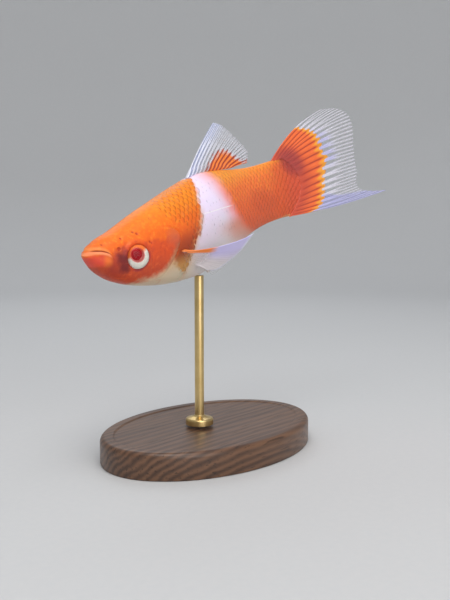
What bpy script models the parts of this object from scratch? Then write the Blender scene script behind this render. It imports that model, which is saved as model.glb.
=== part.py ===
"""A koi swordtail as a life-size display model, swimming nose down on a small stand.

Places on the fish are (s, l, z) in standard lengths: s runs from the snout at 0 to the
end of the flesh at 1, l is to the fish's left and z is up from its middle line.
"""
import math

import bmesh
import bpy
import numpy as np
from mathutils import Matrix, Vector

# Driving dimensions, in metres and radians
STANDARD_LENGTH = 0.055
GAP = 0.0003
MERGE_DISTANCE = 1e-7
NOSE_DOWN = math.radians(14.3)
BODY_TURN = math.radians(6.2)
TAIL_TURN = math.radians(-23.9)
BELLY_HEIGHT = 0.031

# The trunk's outline, in standard lengths
STATIONS = np.array((-0.02, 0.0, 0.02, 0.05, 0.1, 0.2, 0.3, 0.4, 0.48, 0.6, 0.7, 0.8, 0.9, 1.0))
BACK = np.array((0.050, 0.0530, 0.0600, 0.0692, 0.0772, 0.101, 0.123, 0.142, 0.152, 0.1425, 0.1245,
                 0.1130, 0.112, 0.111))
BELLY = np.array((0.030, 0.011, -0.018, -0.0465, -0.0765, -0.114, -0.137, -0.148, -0.147, -0.130,
                  -0.112, -0.098, -0.096, -0.100))
HALF_WIDTH = np.array((0.020, 0.0285, 0.038, 0.051, 0.065, 0.080, 0.082, 0.077, 0.069, 0.053,
                       0.041, 0.031, 0.022, 0.014))
SECTION_POWER = 2.2
SNOUT_TIP = -0.02
SNOUT_CAP = 0.045
SNOUT_RINGS = 8
TAIL_ROUNDING = 0.035
TAIL_ROUNDING_FROM = 0.9
BODY_SIDES = 40
TAIL_SIDES = 32

# Where the body is parted, and the gap there in standard lengths
HEAD_END = 0.25
TORSO_END = 0.66
THIN = GAP / STANDARD_LENGTH

# The middle line turns one way along the body and the other way along the tail
BODY_BEND = (0.25, 0.4)
TAIL_BEND = (0.65, 0.4)

# Head
MOUTH_LINE = ((-0.06, 0.0455), (0.008, 0.0465), (0.022, 0.043), (0.034, 0.037), (0.044, 0.028))
JAW_HINGE_LINE = ((0.062, 0.0), (0.088, -0.045), (0.108, -0.12))
JAW_BLOCK_FRONT = (-0.06, -0.12)
JAW_BLOCK_WIDTH = 0.12
JAW_GAP_ALONG = 0.72
LIP_CORNER = 0.043
LIP_RADIUS = 0.0085
LIP_CORNER_SHARE = 0.5
LIP_FRONT_FLARE = 4
EYE_AT = (0.1195, -0.001)
EYE_RADIUS = 0.0350
EYE_TURN = 0.16
EYE_BULGE = 0.024
EYE_SINK = 0.009
BROW_RADIUS = 0.007
BROW_SPREAD = 0.7
BROW_LIFT = 0.9
NOSTRIL_AT = (0.073, 0.036)
NOSTRIL_RADIUS = 0.0055

# Gill covers: rear edge and front edge against height
GILL_HEIGHTS = np.array((-0.092, -0.084, -0.06, -0.03, -0.005, 0.02, 0.038, 0.049, 0.055))
GILL_REAR = np.array((0.186, 0.200, 0.227, 0.256, 0.277, 0.283, 0.270, 0.250, 0.226))
GILL_FRONT = np.array((0.174, 0.169, 0.166, 0.165, 0.166, 0.170, 0.177, 0.188, 0.204))
GILL_THICKNESS = 0.0009
GILL_LIFT = 0.0002
GILL_RECESS_TOP = 0.0012
GILL_COLUMNS = 10
GILL_ROWS = 12

# The make of every fin: membrane, root and raised rays, in metres or shares of a ray
MEMBRANE = 0.0005
RIDGE = 0.00022
RIDGE_SHARE = 0.24
RIDGE_TAPER = 0.5
FIRST_RAY = 1.25
LAST_RAY = 0.8
ROOT_TURN = 0.18
ROOT_FADE = 0.3
TIP_THINNING = 0.35
TIP_FROM = 0.85

# Each fin's root line and its tips, as (share of the way from first ray to last, s, l, z)
DORSAL_ROOT = (0.456, 0.700)
DORSAL_TIPS = np.array(((0.0, 0.632, 0, 0.287), (0.18, 0.668, 0, 0.276), (0.36, 0.700, 0, 0.256),
                        (0.54, 0.732, 0, 0.230), (0.7, 0.762, 0, 0.202), (0.85, 0.793, 0, 0.165),
                        (1.0, 0.785, 0, 0.127)))
CAUDAL_TOP = 0.905
CAUDAL_TOP_SHARE = 0.17
CAUDAL_CLEARANCE = 1.1
CAUDAL_TIPS = np.array(((0.0, 1.150, 0, 0.243), (0.1, 1.215, 0, 0.236), (0.2, 1.258, 0, 0.212),
                        (0.3, 1.275, 0, 0.170), (0.42, 1.274, 0, 0.110), (0.55, 1.271, 0, 0.050),
                        (0.68, 1.273, 0, -0.008), (0.78, 1.268, 0, -0.048), (0.86, 1.282, 0, -0.072),
                        (0.93, 1.325, 0, -0.087), (1.0, 1.389, 0, -0.097)))
PECTORAL_ROOT = ((0.291, -0.028), (0.299, -0.068))
PECTORAL_TIPS = np.array(((0.0, 0.465, 0.209, -0.022), (0.25, 0.470, 0.150, -0.078),
                          (0.5, 0.436, 0.118, -0.108), (0.75, 0.392, 0.100, -0.122),
                          (1.0, 0.350, 0.096, -0.110)))
PELVIC_ROOT = ((0.418, -0.114), (0.436, -0.138))
PELVIC_TIPS = np.array(((0.0, 0.520, 0.050, -0.134), (0.5, 0.512, 0.040, -0.146),
                        (1.0, 0.490, 0.030, -0.154)))
GONOPODIUM_ROOT = (0.555, 0.577)
GONOPODIUM_TIPS = np.array(((0.0, 0.722, 0, -0.126), (1.0, 0.726, 0, -0.118)))

# Stand
BASE_LENGTH = 0.044
BASE_WIDTH = 0.030
BASE_THICKNESS = 0.0045
BASE_BEVEL = 0.0009
BASE_AHEAD = 0.0026
ROD_STATION = 0.43
ROD_RADIUS = 0.0008
ROD_OVERLAP = 0.002
COLLAR_RADIUS = 0.0024
COLLAR_TOP_RADIUS = 0.0019
COLLAR_EDGE = 0.001
COLLAR_HEIGHT = 0.0014

ORANGE = (0.86, 0.20, 0.035)
RED = (0.60, 0.09, 0.05)
PEARL = (0.80, 0.72, 0.74)
IVORY = (0.90, 0.88, 0.80)
WALNUT = (0.10, 0.055, 0.03)
BRASS = (0.55, 0.42, 0.20)


def smooth(x, stations, values):
    """The value at x on a smooth curve through the values at the stations."""
    slopes = np.gradient(values, stations)
    i = int(np.clip(np.searchsorted(stations, x, side="right") - 1, 0, len(stations) - 2))
    step = stations[i + 1] - stations[i]
    t = (x - stations[i]) / step
    start = values[i] * (1 + 2 * t) + slopes[i] * step * t
    end = values[i + 1] * (3 - 2 * t) - slopes[i + 1] * step * (1 - t)
    return start * (1 - t) ** 2 + end * t ** 2


def ease(t):
    """A soft step from 0 to 1."""
    t = min(max(t, 0.0), 1.0)
    return t * t * (3 - 2 * t)


def spine_table():
    """Points of the bent middle line, and its heading at each."""
    s = np.linspace(-0.1, 1.6, 681)
    body = np.clip((s - BODY_BEND[0]) / BODY_BEND[1], 0, 1)
    tail = np.clip((s - TAIL_BEND[0]) / TAIL_BEND[1], 0, None)
    heading = BODY_TURN * body + TAIL_TURN * tail
    middle = (heading[1:] + heading[:-1]) / 2
    x = s[0] + np.concatenate(([0], np.cumsum(np.cos(middle) * np.diff(s))))
    y = np.concatenate(([0], np.cumsum(np.sin(middle) * np.diff(s))))
    return s, x, y, heading


SPINE = spine_table()


def place(s, l, z):
    """A place on the fish as a point in metres, before the fish is tipped."""
    x = np.interp(s, SPINE[0], SPINE[1])
    y = np.interp(s, SPINE[0], SPINE[2])
    heading = np.interp(s, SPINE[0], SPINE[3])
    return Vector((x + l * math.sin(heading), y - l * math.cos(heading), z)) * STANDARD_LENGTH


def section(s):
    """Middle height, half height and half width of the trunk at a station."""
    cap = math.sqrt(max(0.0, 1 - max(0.0, 1 - (s - SNOUT_TIP) / SNOUT_CAP) ** 2))
    back, belly = smooth(s, STATIONS, BACK), smooth(s, STATIONS, BELLY)
    return (back + belly) / 2, (back - belly) / 2 * cap, smooth(s, STATIONS, HALF_WIDTH) * cap


def outward(across, up, half_width, half_height):
    """The outward direction of a section's edge, as (across, up)."""
    power = SECTION_POWER - 1
    a = math.copysign(abs(across / half_width) ** power, across) / half_width
    b = math.copysign(abs(up / half_height) ** power, up) / half_height
    size = math.hypot(a, b)
    return a / size, b / size


def skin(s, angle, out=0.0):
    """The trunk's surface at a station and an angle round the section, moved out by metres."""
    middle, half_height, half_width = section(s)
    across = math.copysign(abs(math.cos(angle)) ** (2 / SECTION_POWER), math.cos(angle))
    up = math.copysign(abs(math.sin(angle)) ** (2 / SECTION_POWER), math.sin(angle))
    rounding = TAIL_ROUNDING * min(max((s - TAIL_ROUNDING_FROM) / (1 - TAIL_ROUNDING_FROM), 0), 1)
    station = s + rounding * (1 - 2 * up * up)
    l, z = across * half_width, up * half_height
    if out:
        n = outward(l, z, half_width, half_height)
        l, z = l + n[0] * out / STANDARD_LENGTH, z + n[1] * out / STANDARD_LENGTH
    return place(station, l, middle + z)


def flank(s, z, side, out=0.0):
    """The place on one side's flank at a station and height, moved out by metres."""
    middle, half_height, half_width = section(s)
    up = min(max((z - middle) / half_height, -0.999), 0.999)
    across = (1 - abs(up) ** SECTION_POWER) ** (1 / SECTION_POWER)
    n = outward(across * half_width, up * half_height, half_width, half_height)
    shift = out / STANDARD_LENGTH
    l = across * half_width + n[0] * shift
    return np.array((s, side * l, middle + up * half_height + n[1] * shift))


def material(name, color, roughness, metallic=0.0):
    finish = bpy.data.materials.new(name)
    finish.use_nodes = True
    shader = finish.node_tree.nodes["Principled BSDF"]
    shader.inputs["Base Color"].default_value = (*color, 1)
    shader.inputs["Roughness"].default_value = roughness
    shader.inputs["Metallic"].default_value = metallic
    finish.diffuse_color = (*color, 1)
    return finish


def finished(name, bm):
    """An object of the mesh, with its faces turned outwards."""
    bmesh.ops.recalc_face_normals(bm, faces=bm.faces)
    if bm.calc_volume(signed=True) < 0:
        bmesh.ops.reverse_faces(bm, faces=bm.faces)
    mesh = bpy.data.meshes.new(name)
    bm.to_mesh(mesh)
    bm.free()
    piece = bpy.data.objects.new(name, mesh)
    bpy.context.scene.collection.objects.link(piece)
    return piece


def trunk(name, stations, sides, out=0.0):
    """A closed length of the trunk, one ring of faces between each two stations."""
    bm = bmesh.new()
    rows = len(stations) + 1
    bmesh.ops.create_uvsphere(bm, u_segments=sides, v_segments=rows, radius=1)
    ends = (stations[0], *stations, stations[-1])
    for vert in bm.verts:
        row = round(math.acos(min(max(vert.co.z, -1), 1)) / math.pi * rows)
        angle = math.atan2(vert.co.y, vert.co.x)
        if row in (0, rows):
            middle = section(ends[row])[0]
            station = ends[row] + (TAIL_ROUNDING if ends[row] >= 1 else 0)
            vert.co = place(station, 0, middle)
        else:
            vert.co = skin(ends[row], angle, out)
    return finished(name, bm)


def largest_shell(mesh):
    """Keeps only the mesh's largest closed surface."""
    bm = bmesh.new()
    bm.from_mesh(mesh)
    bmesh.ops.dissolve_degenerate(bm, dist=MERGE_DISTANCE, edges=bm.edges)
    left = set(bm.verts)
    shells = []
    while left:
        shell = set()
        waiting = [left.pop()]
        while waiting:
            vert = waiting.pop()
            shell.add(vert)
            near = {edge.other_vert(vert) for edge in vert.link_edges} & left
            left -= near
            waiting.extend(near)
        shells.append(shell)
    shells.sort(key=len)
    bmesh.ops.delete(bm, geom=[vert for shell in shells[:-1] for vert in shell], context="VERTS")
    bm.to_mesh(mesh)
    bm.free()


def combine(piece, operation, tools):
    """Joins or cuts a piece with tools, which are then removed."""
    group = bpy.data.collections.new("tools")
    bpy.context.scene.collection.children.link(group)
    for tool in tools:
        group.objects.link(tool)
    step = piece.modifiers.new(operation, "BOOLEAN")
    step.operation = operation
    step.operand_type = "COLLECTION"
    step.solver = "EXACT"
    step.collection = group
    bpy.context.view_layer.update()
    graph = bpy.context.evaluated_depsgraph_get()
    result = bpy.data.meshes.new_from_object(piece.evaluated_get(graph))
    piece.modifiers.clear()
    piece.data = result
    for tool in tools:
        bpy.data.objects.remove(tool)
    bpy.data.collections.remove(group)
    largest_shell(piece.data)
    return piece


def turned_towards(axis):
    """The rotation that takes +Z to the axis."""
    return Vector(axis).to_track_quat("Z", "Y").to_matrix().to_4x4()


def slab(name, columns, rows, shape):
    """A closed sheet split alike on both faces, with shape(column, v, side) giving each corner."""
    bm = bmesh.new()
    bmesh.ops.create_grid(bm, x_segments=columns, y_segments=rows, size=0.5)
    bmesh.ops.translate(bm, verts=bm.verts, vec=(0.5, 0.5, -1))
    bmesh.ops.triangulate(bm, faces=bm.faces)
    other = bmesh.ops.extrude_face_region(bm, geom=bm.faces)["geom"]
    far = [item for item in other if isinstance(item, bmesh.types.BMVert)]
    bmesh.ops.translate(bm, verts=far, vec=(0, 0, 2))
    for vert in bm.verts:
        vert.co = shape(round(vert.co.x * columns), vert.co.y, round(vert.co.z))
    bmesh.ops.triangulate(bm, faces=bm.faces)
    return finished(name, bm)


def tip_at(u, tips):
    """A fin's tip at a share u of the way from its first ray to its last."""
    return np.array([smooth(u, tips[:, 0], column) for column in tips[:, 1:].T])


def bowed(start, end, bow, v):
    """A point along a line that bows sideways by the vector bow."""
    return start + (end - start) * v + np.array(bow) * (4 * v * (1 - v))


def fin(name, rays, rows, middle, root_lie, root=0.0011, edge=MEMBRANE):
    """A fin with rays raised on both faces.

    middle(u, v) gives its middle surface, u from the first ray to the last and v from
    root to tip. Its thickness lies along root_lie at the root, and further out square
    to its middle ray.
    """
    small = 0.01
    root_lie = Vector(root_lie)

    def square(v):
        along = middle(0.5, min(v + small, 1)) - middle(0.5, max(v - small, 0))
        across = middle(1, v) - middle(0, v)
        return Vector(np.cross(across, along)).normalized()

    facing = math.copysign(1, square(0).dot(root_lie))

    def thickness_lie(v):
        return root_lie.lerp(square(v) * facing, ease(v / ROOT_TURN)).normalized()

    def shape(column, v, side):
        ray, part = divmod(column, 3)
        u = (ray + (0, RIDGE_SHARE, 1 - RIDGE_SHARE)[part]) / (rays - 1)
        thickness = root + (edge - root) * ease(v / ROOT_FADE)
        if part == 0:
            thickness += 2 * RIDGE * (1 - RIDGE_TAPER * v) * (FIRST_RAY + (LAST_RAY - FIRST_RAY) * u)
        thickness *= 1 - TIP_THINNING * ease((v - TIP_FROM) / (1 - TIP_FROM))
        s, l, z = Vector(middle(u, v)) + thickness_lie(v) * (side * thickness / 2 / STANDARD_LENGTH)
        return place(s, l, z)

    return slab(name, 3 * (rays - 1), rows, shape)


def head_and_jaw():
    turns = np.linspace(math.pi / 2 / (SNOUT_RINGS + 1), math.pi / 2, SNOUT_RINGS)
    nose = SNOUT_TIP + SNOUT_CAP * (1 - np.cos(turns))
    rest = np.linspace(SNOUT_TIP + SNOUT_CAP, HEAD_END, 14)[1:]
    stations = np.concatenate((nose, rest))
    whole = trunk("head", stations, BODY_SIDES)
    jaw = trunk("jaw", stations, BODY_SIDES)
    combine(whole, "UNION", [lip_roll(), *(brow(side) for side in (1, -1))])
    combine(jaw, "UNION", [lip_roll()])
    combine(jaw, "INTERSECT", [jaw_block(-THIN * JAW_GAP_ALONG, -THIN)])
    cuts = [jaw_block(0, 0)]
    for side in (1, -1):
        cuts.append(eye(side, GAP))
        cuts.append(gill_cover(side, recess=True))
        cuts.append(nostril(side))
    combine(whole, "DIFFERENCE", cuts)
    return whole, jaw


def mouth_height(s):
    stations, heights = np.array(MOUTH_LINE).T
    return float(np.interp(s, stations, heights))


def mouth_front():
    """The station where the mouth line meets the front of the snout."""
    low, high = SNOUT_TIP, LIP_CORNER
    while high - low > MERGE_DISTANCE:
        s = (low + high) / 2
        middle, half_height, _ = section(s)
        low, high = (s, high) if middle + half_height < mouth_height(s) else (low, s)
    return high


def lip_roll():
    """A roll round the mouth, from one corner to the other."""
    curve = bpy.data.curves.new("lips", "CURVE")
    curve.dimensions = "3D"
    curve.bevel_depth = LIP_RADIUS * STANDARD_LENGTH
    curve.bevel_resolution = 1
    curve.use_fill_caps = True
    front = mouth_front()
    turns = np.linspace(-math.pi / 2, math.pi / 2, 17)
    line = curve.splines.new("POLY")
    line.points.add(len(turns) - 1)
    for point, turn in zip(line.points, turns):
        s = front + (LIP_CORNER - front) * (1 - math.cos(turn))
        l = flank(s, mouth_height(s), 1)[1] * min(1, abs(turn) * LIP_FRONT_FLARE)
        point.co = (*place(s, math.copysign(l, turn), mouth_height(s) - THIN / 2), 1)
        point.radius = LIP_CORNER_SHARE + (1 - LIP_CORNER_SHARE) * math.sqrt(max(math.cos(turn), 0))
    roll = bpy.data.objects.new("lips", curve)
    bpy.context.scene.collection.objects.link(roll)
    bpy.context.view_layer.update()
    graph = bpy.context.evaluated_depsgraph_get()
    mesh = bpy.data.meshes.new_from_object(roll.evaluated_get(graph))
    bpy.data.objects.remove(roll)
    bm = bmesh.new()
    bm.from_mesh(mesh)
    bmesh.ops.remove_doubles(bm, verts=bm.verts, dist=MERGE_DISTANCE * 10)
    return finished("lips", bm)


def jaw_block(shift_s, shift_z):
    """The space of the lower jaw, bounded above by the mouth line and behind by the hinge line."""
    corners = (*MOUTH_LINE, *JAW_HINGE_LINE, JAW_BLOCK_FRONT)
    bm = bmesh.new()
    verts = [bm.verts.new(place(s + shift_s, JAW_BLOCK_WIDTH, z + shift_z)) for s, z in corners]
    face = bm.faces.new(verts)
    far = bmesh.ops.extrude_face_region(bm, geom=[face])["geom"]
    for item in far:
        if isinstance(item, bmesh.types.BMVert):
            item.co.y = -item.co.y
    return finished("jaw_block", bm)


def eye_frame(side):
    """The middle of an eye and the direction it looks in."""
    s, z = EYE_AT
    near = EYE_RADIUS
    here = place(*flank(s, z, side))
    ahead = place(*flank(s - near, z, side)) - place(*flank(s + near, z, side))
    above = place(*flank(s, z + near, side)) - place(*flank(s, z - near, side))
    look = ahead.cross(above).normalized() * side
    if look.y * side > 0:
        look.negate()
    look = (look + ahead.normalized() * EYE_TURN).normalized()
    return here - look * EYE_SINK * STANDARD_LENGTH, look


def eye(side, grow=0.0):
    """A flattened ball set in the side of the head."""
    center, look = eye_frame(side)
    radius = EYE_RADIUS * STANDARD_LENGTH + grow
    bulge = EYE_BULGE * STANDARD_LENGTH + grow
    bm = bmesh.new()
    bmesh.ops.create_uvsphere(bm, u_segments=24, v_segments=12, radius=1)
    bmesh.ops.scale(bm, verts=bm.verts, vec=(radius, radius, bulge))
    bmesh.ops.transform(bm, verts=bm.verts, matrix=Matrix.Translation(center) @ turned_towards(look))
    return finished("eye", bm)


def brow(side):
    """The raised rim round an eye."""
    center, look = eye_frame(side)
    center = center + look * EYE_SINK * BROW_LIFT * STANDARD_LENGTH
    reach = (EYE_RADIUS + BROW_RADIUS * BROW_SPREAD) * STANDARD_LENGTH
    bm = bmesh.new()
    bmesh.ops.create_circle(bm, segments=8, radius=BROW_RADIUS * STANDARD_LENGTH)
    upright = Matrix.Rotation(math.pi / 2, 3, "X")
    bmesh.ops.rotate(bm, verts=bm.verts, cent=(0, 0, 0), matrix=upright)
    bmesh.ops.translate(bm, verts=bm.verts, vec=(reach, 0, 0))
    bmesh.ops.spin(bm, geom=bm.verts[:] + bm.edges[:], cent=(0, 0, 0), axis=(0, 0, 1), angle=2 * math.pi,
                   steps=24, use_merge=True)
    bmesh.ops.remove_doubles(bm, verts=bm.verts, dist=MERGE_DISTANCE)
    bmesh.ops.transform(bm, verts=bm.verts, matrix=Matrix.Translation(center) @ turned_towards(look))
    return finished("brow", bm)


def nostril(side):
    bm = bmesh.new()
    bmesh.ops.create_icosphere(bm, subdivisions=1, radius=NOSTRIL_RADIUS * STANDARD_LENGTH)
    bmesh.ops.translate(bm, verts=bm.verts, vec=place(*flank(*NOSTRIL_AT, side)))
    return finished("nostril", bm)


def gill_cover(side, recess=False):
    """A gill cover, or the recess that takes it with a thin gap all round."""
    margin = THIN if recess else 0
    floor = -GILL_THICKNESS - (GAP if recess else 0)
    low, high = GILL_HEIGHTS[0] - margin, GILL_HEIGHTS[-1] + margin

    def shape(column, v, face):
        z = low + (high - low) * v
        height = min(max(z, GILL_HEIGHTS[0]), GILL_HEIGHTS[-1])
        front = smooth(height, GILL_HEIGHTS, GILL_FRONT) - margin
        rear = smooth(height, GILL_HEIGHTS, GILL_REAR) + margin
        share = column / GILL_COLUMNS
        top = GILL_RECESS_TOP if recess else GILL_LIFT * ease(share)
        return place(*flank(front + (rear - front) * share, z, side, top if face > 0 else floor))

    return slab("gill_cover", GILL_COLUMNS, GILL_ROWS, shape)


def dorsal_fin():
    def middle(u, v):
        s = DORSAL_ROOT[0] + (DORSAL_ROOT[1] - DORSAL_ROOT[0]) * u
        root = np.array((s, 0, smooth(s, STATIONS, BACK) + THIN))
        return bowed(root, tip_at(u, DORSAL_TIPS), (-0.006 + 0.010 * u, 0, 0.004 - 0.003 * u), v)

    return fin("fin_dorsal", 13, 10, middle, (0, 1, 0))


def caudal_root(u):
    """The line along the back and round the end of the flesh that the tail fin stands on."""
    top_end = 1 - TAIL_ROUNDING
    if u < CAUDAL_TOP_SHARE:
        s = CAUDAL_TOP + (top_end - CAUDAL_TOP) * u / CAUDAL_TOP_SHARE
        return np.array((s, 0, smooth(s, STATIONS, BACK) + THIN))
    middle, half_height, _ = section(1.0)
    angle = math.pi / 2 - math.pi * (u - CAUDAL_TOP_SHARE) / (1 - CAUDAL_TOP_SHARE)
    up = math.copysign(abs(math.sin(angle)) ** (2 / SECTION_POWER), math.sin(angle))
    s = 1 + TAIL_ROUNDING * (1 - 2 * up * up)
    clear = THIN * CAUDAL_CLEARANCE
    return np.array((s + clear * math.cos(angle), 0, middle + up * half_height + clear * math.sin(angle)))


def caudal_fin():
    def middle(u, v):
        rise = 0.018 * (1 - u) ** 2 - 0.014 * ease((u - 0.7) / 0.3)
        return bowed(caudal_root(u), tip_at(u, CAUDAL_TIPS), (0, 0, rise), v)

    return fin("fin_caudal", 19, 12, middle, (0, 1, 0))


def paired_fin(name, side, rays, rows, root, tips, bow, thickness):
    """A fin rooted along a short line on one flank."""
    start, end = np.array(root)
    mirror = np.array((1, side, 1))

    def middle(u, v):
        s, z = start + (end - start) * u
        return bowed(flank(s, z, side, GAP), tip_at(u, tips) * mirror, bow * mirror, v)

    return fin(name, rays, rows, middle, (1, 0, 0), root=thickness)


def pectoral_fin(side):
    """The fin behind the gill cover, held out and back."""
    bow = np.array((0, 0.010, 0))
    return paired_fin("fin_pectoral", side, 9, 9, PECTORAL_ROOT, PECTORAL_TIPS, bow, 0.0008)


def pelvic_fin(side):
    """The small fin under the belly, which leaves the flank and then lies back along it."""
    bow = np.array((-0.022, 0.014, -0.006))
    return paired_fin("fin_pelvic", side, 5, 8, PELVIC_ROOT, PELVIC_TIPS, bow, 0.0007)


def gonopodium():
    """The male's anal fin, a slender rod folded back under the belly."""
    def middle(u, v):
        s = GONOPODIUM_ROOT[0] + (GONOPODIUM_ROOT[1] - GONOPODIUM_ROOT[0]) * u
        root = np.array((s, 0, smooth(s, STATIONS, BELLY) - THIN))
        return bowed(root, tip_at(u, GONOPODIUM_TIPS), (0, 0, -0.006), v)

    return fin("gonopodium", 3, 8, middle, (0, 1, 0), edge=0.0007)


def stand_base(center_x):
    bm = bmesh.new()
    bmesh.ops.create_cone(bm, cap_ends=True, segments=56, radius1=0.5, radius2=0.5, depth=BASE_THICKNESS)
    bmesh.ops.scale(bm, verts=bm.verts, vec=(BASE_LENGTH, BASE_WIDTH, 1))
    bmesh.ops.translate(bm, verts=bm.verts, vec=(center_x, 0, BASE_THICKNESS / 2))
    rim = [edge for edge in bm.edges if all(vert.co.z > BASE_THICKNESS * 0.9 for vert in edge.verts)]
    bmesh.ops.bevel(bm, geom=rim, offset=BASE_BEVEL, segments=2, profile=0.5, affect="EDGES", material=-1)
    return finished("stand_base", bm)


def stand_rod(foot, top):
    """A rod with a collar at its foot, turned about its own axis."""
    foot_z = BASE_THICKNESS + GAP
    profile = ((0, foot_z), (COLLAR_RADIUS, foot_z), (COLLAR_RADIUS, foot_z + COLLAR_EDGE),
               (COLLAR_TOP_RADIUS, foot_z + COLLAR_HEIGHT), (ROD_RADIUS, foot_z + COLLAR_HEIGHT),
               (ROD_RADIUS, top), (0, top))
    bm = bmesh.new()
    verts = [bm.verts.new((r, 0, z)) for r, z in profile]
    edges = [bm.edges.new(pair) for pair in zip(verts, verts[1:])]
    bmesh.ops.spin(bm, geom=verts + edges, cent=(0, 0, 0), axis=(0, 0, 1), angle=2 * math.pi, steps=20,
                   use_merge=True)
    bmesh.ops.remove_doubles(bm, verts=bm.verts, dist=MERGE_DISTANCE)
    bmesh.ops.translate(bm, verts=bm.verts, vec=(foot.x, foot.y, 0))
    return finished("stand_rod", bm)


def build():
    for old in list(bpy.data.objects):
        bpy.data.objects.remove(old)
    fish = bpy.data.objects.new("fish", None)
    bpy.context.scene.collection.objects.link(fish)
    head, jaw = head_and_jaw()
    torso = trunk("torso", np.linspace(HEAD_END + THIN, TORSO_END, 17), BODY_SIDES)
    combine(torso, "DIFFERENCE", [gill_cover(side, recess=True) for side in (1, -1)])
    tail = trunk("tail", np.linspace(TORSO_END + THIN, 1.0, 12), TAIL_SIDES)
    pieces = {
        "head": (head, ORANGE),
        "jaw": (jaw, RED),
        "torso": (torso, PEARL),
        "tail": (tail, ORANGE),
        "fin_dorsal": (dorsal_fin(), PEARL),
        "fin_caudal": (caudal_fin(), PEARL),
        "gonopodium": (gonopodium(), PEARL),
    }
    for side, word in ((1, "left"), (-1, "right")):
        pieces[f"eye_{word}"] = (eye(side), IVORY)
        pieces[f"gill_cover_{word}"] = (gill_cover(side), RED)
        pieces[f"fin_pectoral_{word}"] = (pectoral_fin(side), PEARL)
        pieces[f"fin_pelvic_{word}"] = (pelvic_fin(side), PEARL)
    for name, (piece, color) in pieces.items():
        piece.name = name
        piece.data.materials.clear()
        piece.data.materials.append(material(name, color, 0.35))
        piece.parent = fish
    fish.rotation_euler = (0, -NOSE_DOWN, 0)
    bpy.context.view_layer.update()
    tip = fish.matrix_world.to_3x3()
    reach = []
    for piece, _ in pieces.values():
        reach += [(piece.matrix_world @ vert.co).x for vert in piece.data.vertices]
    center_x = (min(reach) + max(reach)) / 2
    belly = tip @ skin(ROD_STATION, -math.pi / 2)
    fish.location = (-center_x, -belly.y, BELLY_HEIGHT - belly.z)
    bpy.context.view_layer.update()
    foot = fish.matrix_world @ skin(ROD_STATION, -math.pi / 2)
    base = stand_base(foot.x + BASE_AHEAD)
    rod = stand_rod(foot, BELLY_HEIGHT + ROD_OVERLAP)
    keep_out = trunk("keep_out", np.linspace(0.3, 0.6, 22), 56, GAP)
    keep_out.parent = fish
    combine(rod, "DIFFERENCE", [keep_out])
    base.data.materials.append(material("stand_base", WALNUT, 0.4))
    rod.data.materials.clear()
    rod.data.materials.append(material("stand_rod", BRASS, 0.3, 1.0))


build()
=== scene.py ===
# %% [markdown]
# # A koi swordtail, life size, on a display stand
#
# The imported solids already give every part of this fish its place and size. Here they get
# their looks: one skin over the head, body and tail, scales that overlap like roof tiles,
# fins that are thin enough to see through, wet eyes, and a stand of walnut and brass.

# %% The frame
import math

import bmesh
import bpy
import numpy as np
from mathutils import Matrix, Vector


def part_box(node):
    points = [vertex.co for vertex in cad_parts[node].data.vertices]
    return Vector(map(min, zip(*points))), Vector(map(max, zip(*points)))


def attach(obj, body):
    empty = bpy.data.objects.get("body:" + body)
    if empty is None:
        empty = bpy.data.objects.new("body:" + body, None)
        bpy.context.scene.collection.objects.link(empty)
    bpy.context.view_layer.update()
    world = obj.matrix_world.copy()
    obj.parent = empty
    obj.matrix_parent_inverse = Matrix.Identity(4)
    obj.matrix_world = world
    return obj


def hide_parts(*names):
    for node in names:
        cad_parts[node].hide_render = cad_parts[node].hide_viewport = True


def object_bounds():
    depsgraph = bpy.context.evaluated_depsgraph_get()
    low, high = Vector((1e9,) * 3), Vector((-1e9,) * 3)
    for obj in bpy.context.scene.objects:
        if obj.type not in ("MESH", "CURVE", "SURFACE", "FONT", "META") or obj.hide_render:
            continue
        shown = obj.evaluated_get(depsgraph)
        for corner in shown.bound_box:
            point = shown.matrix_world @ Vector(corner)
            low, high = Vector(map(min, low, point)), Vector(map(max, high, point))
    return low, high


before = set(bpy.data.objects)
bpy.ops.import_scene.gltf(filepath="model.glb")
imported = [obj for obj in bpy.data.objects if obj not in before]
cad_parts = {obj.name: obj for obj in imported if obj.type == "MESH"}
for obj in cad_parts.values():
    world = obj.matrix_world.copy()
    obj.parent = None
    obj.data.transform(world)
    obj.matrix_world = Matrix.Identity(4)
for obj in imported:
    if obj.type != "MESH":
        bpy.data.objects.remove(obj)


def rounded(numbers):
    """Metres cut to a tenth of a millimetre, for the prints."""
    return [round(number, 4) for number in numbers]


cad_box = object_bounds()
print("the solids reach from", rounded(cad_box[0]), "to", rounded(cad_box[1]))

# %% [markdown]
# ## The camera
#
# The view is from in front of the fish and to its left, a little above it, so the head is
# near and large and the tail swings away. A lens of 50 mm on a frame 36 mm high gives the
# same narrowing from head to tail as the picture. The height of the frame fixes the lens,
# because the picture is taller than it is wide.

# %% The camera
CAMERA_AT = (-0.11865, -0.09356, 0.04082)
CAMERA_TURN = (84.25, 0.02, -50.85)
LENS = 50.12
FRAME_HEIGHT = 36
NEAREST = 0.005

lens = bpy.data.cameras.new("camera")
lens.sensor_fit = "VERTICAL"
lens.sensor_height = FRAME_HEIGHT
lens.lens = LENS
lens.clip_start = NEAREST
camera = bpy.data.objects.new("camera", lens)
camera.location = CAMERA_AT
camera.rotation_euler = [math.radians(angle) for angle in CAMERA_TURN]
bpy.context.scene.collection.objects.link(camera)
bpy.context.scene.camera = camera
bpy.context.scene.view_settings.view_transform = "Standard"
print("camera at", CAMERA_AT, "with a lens of", LENS, "mm")

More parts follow.
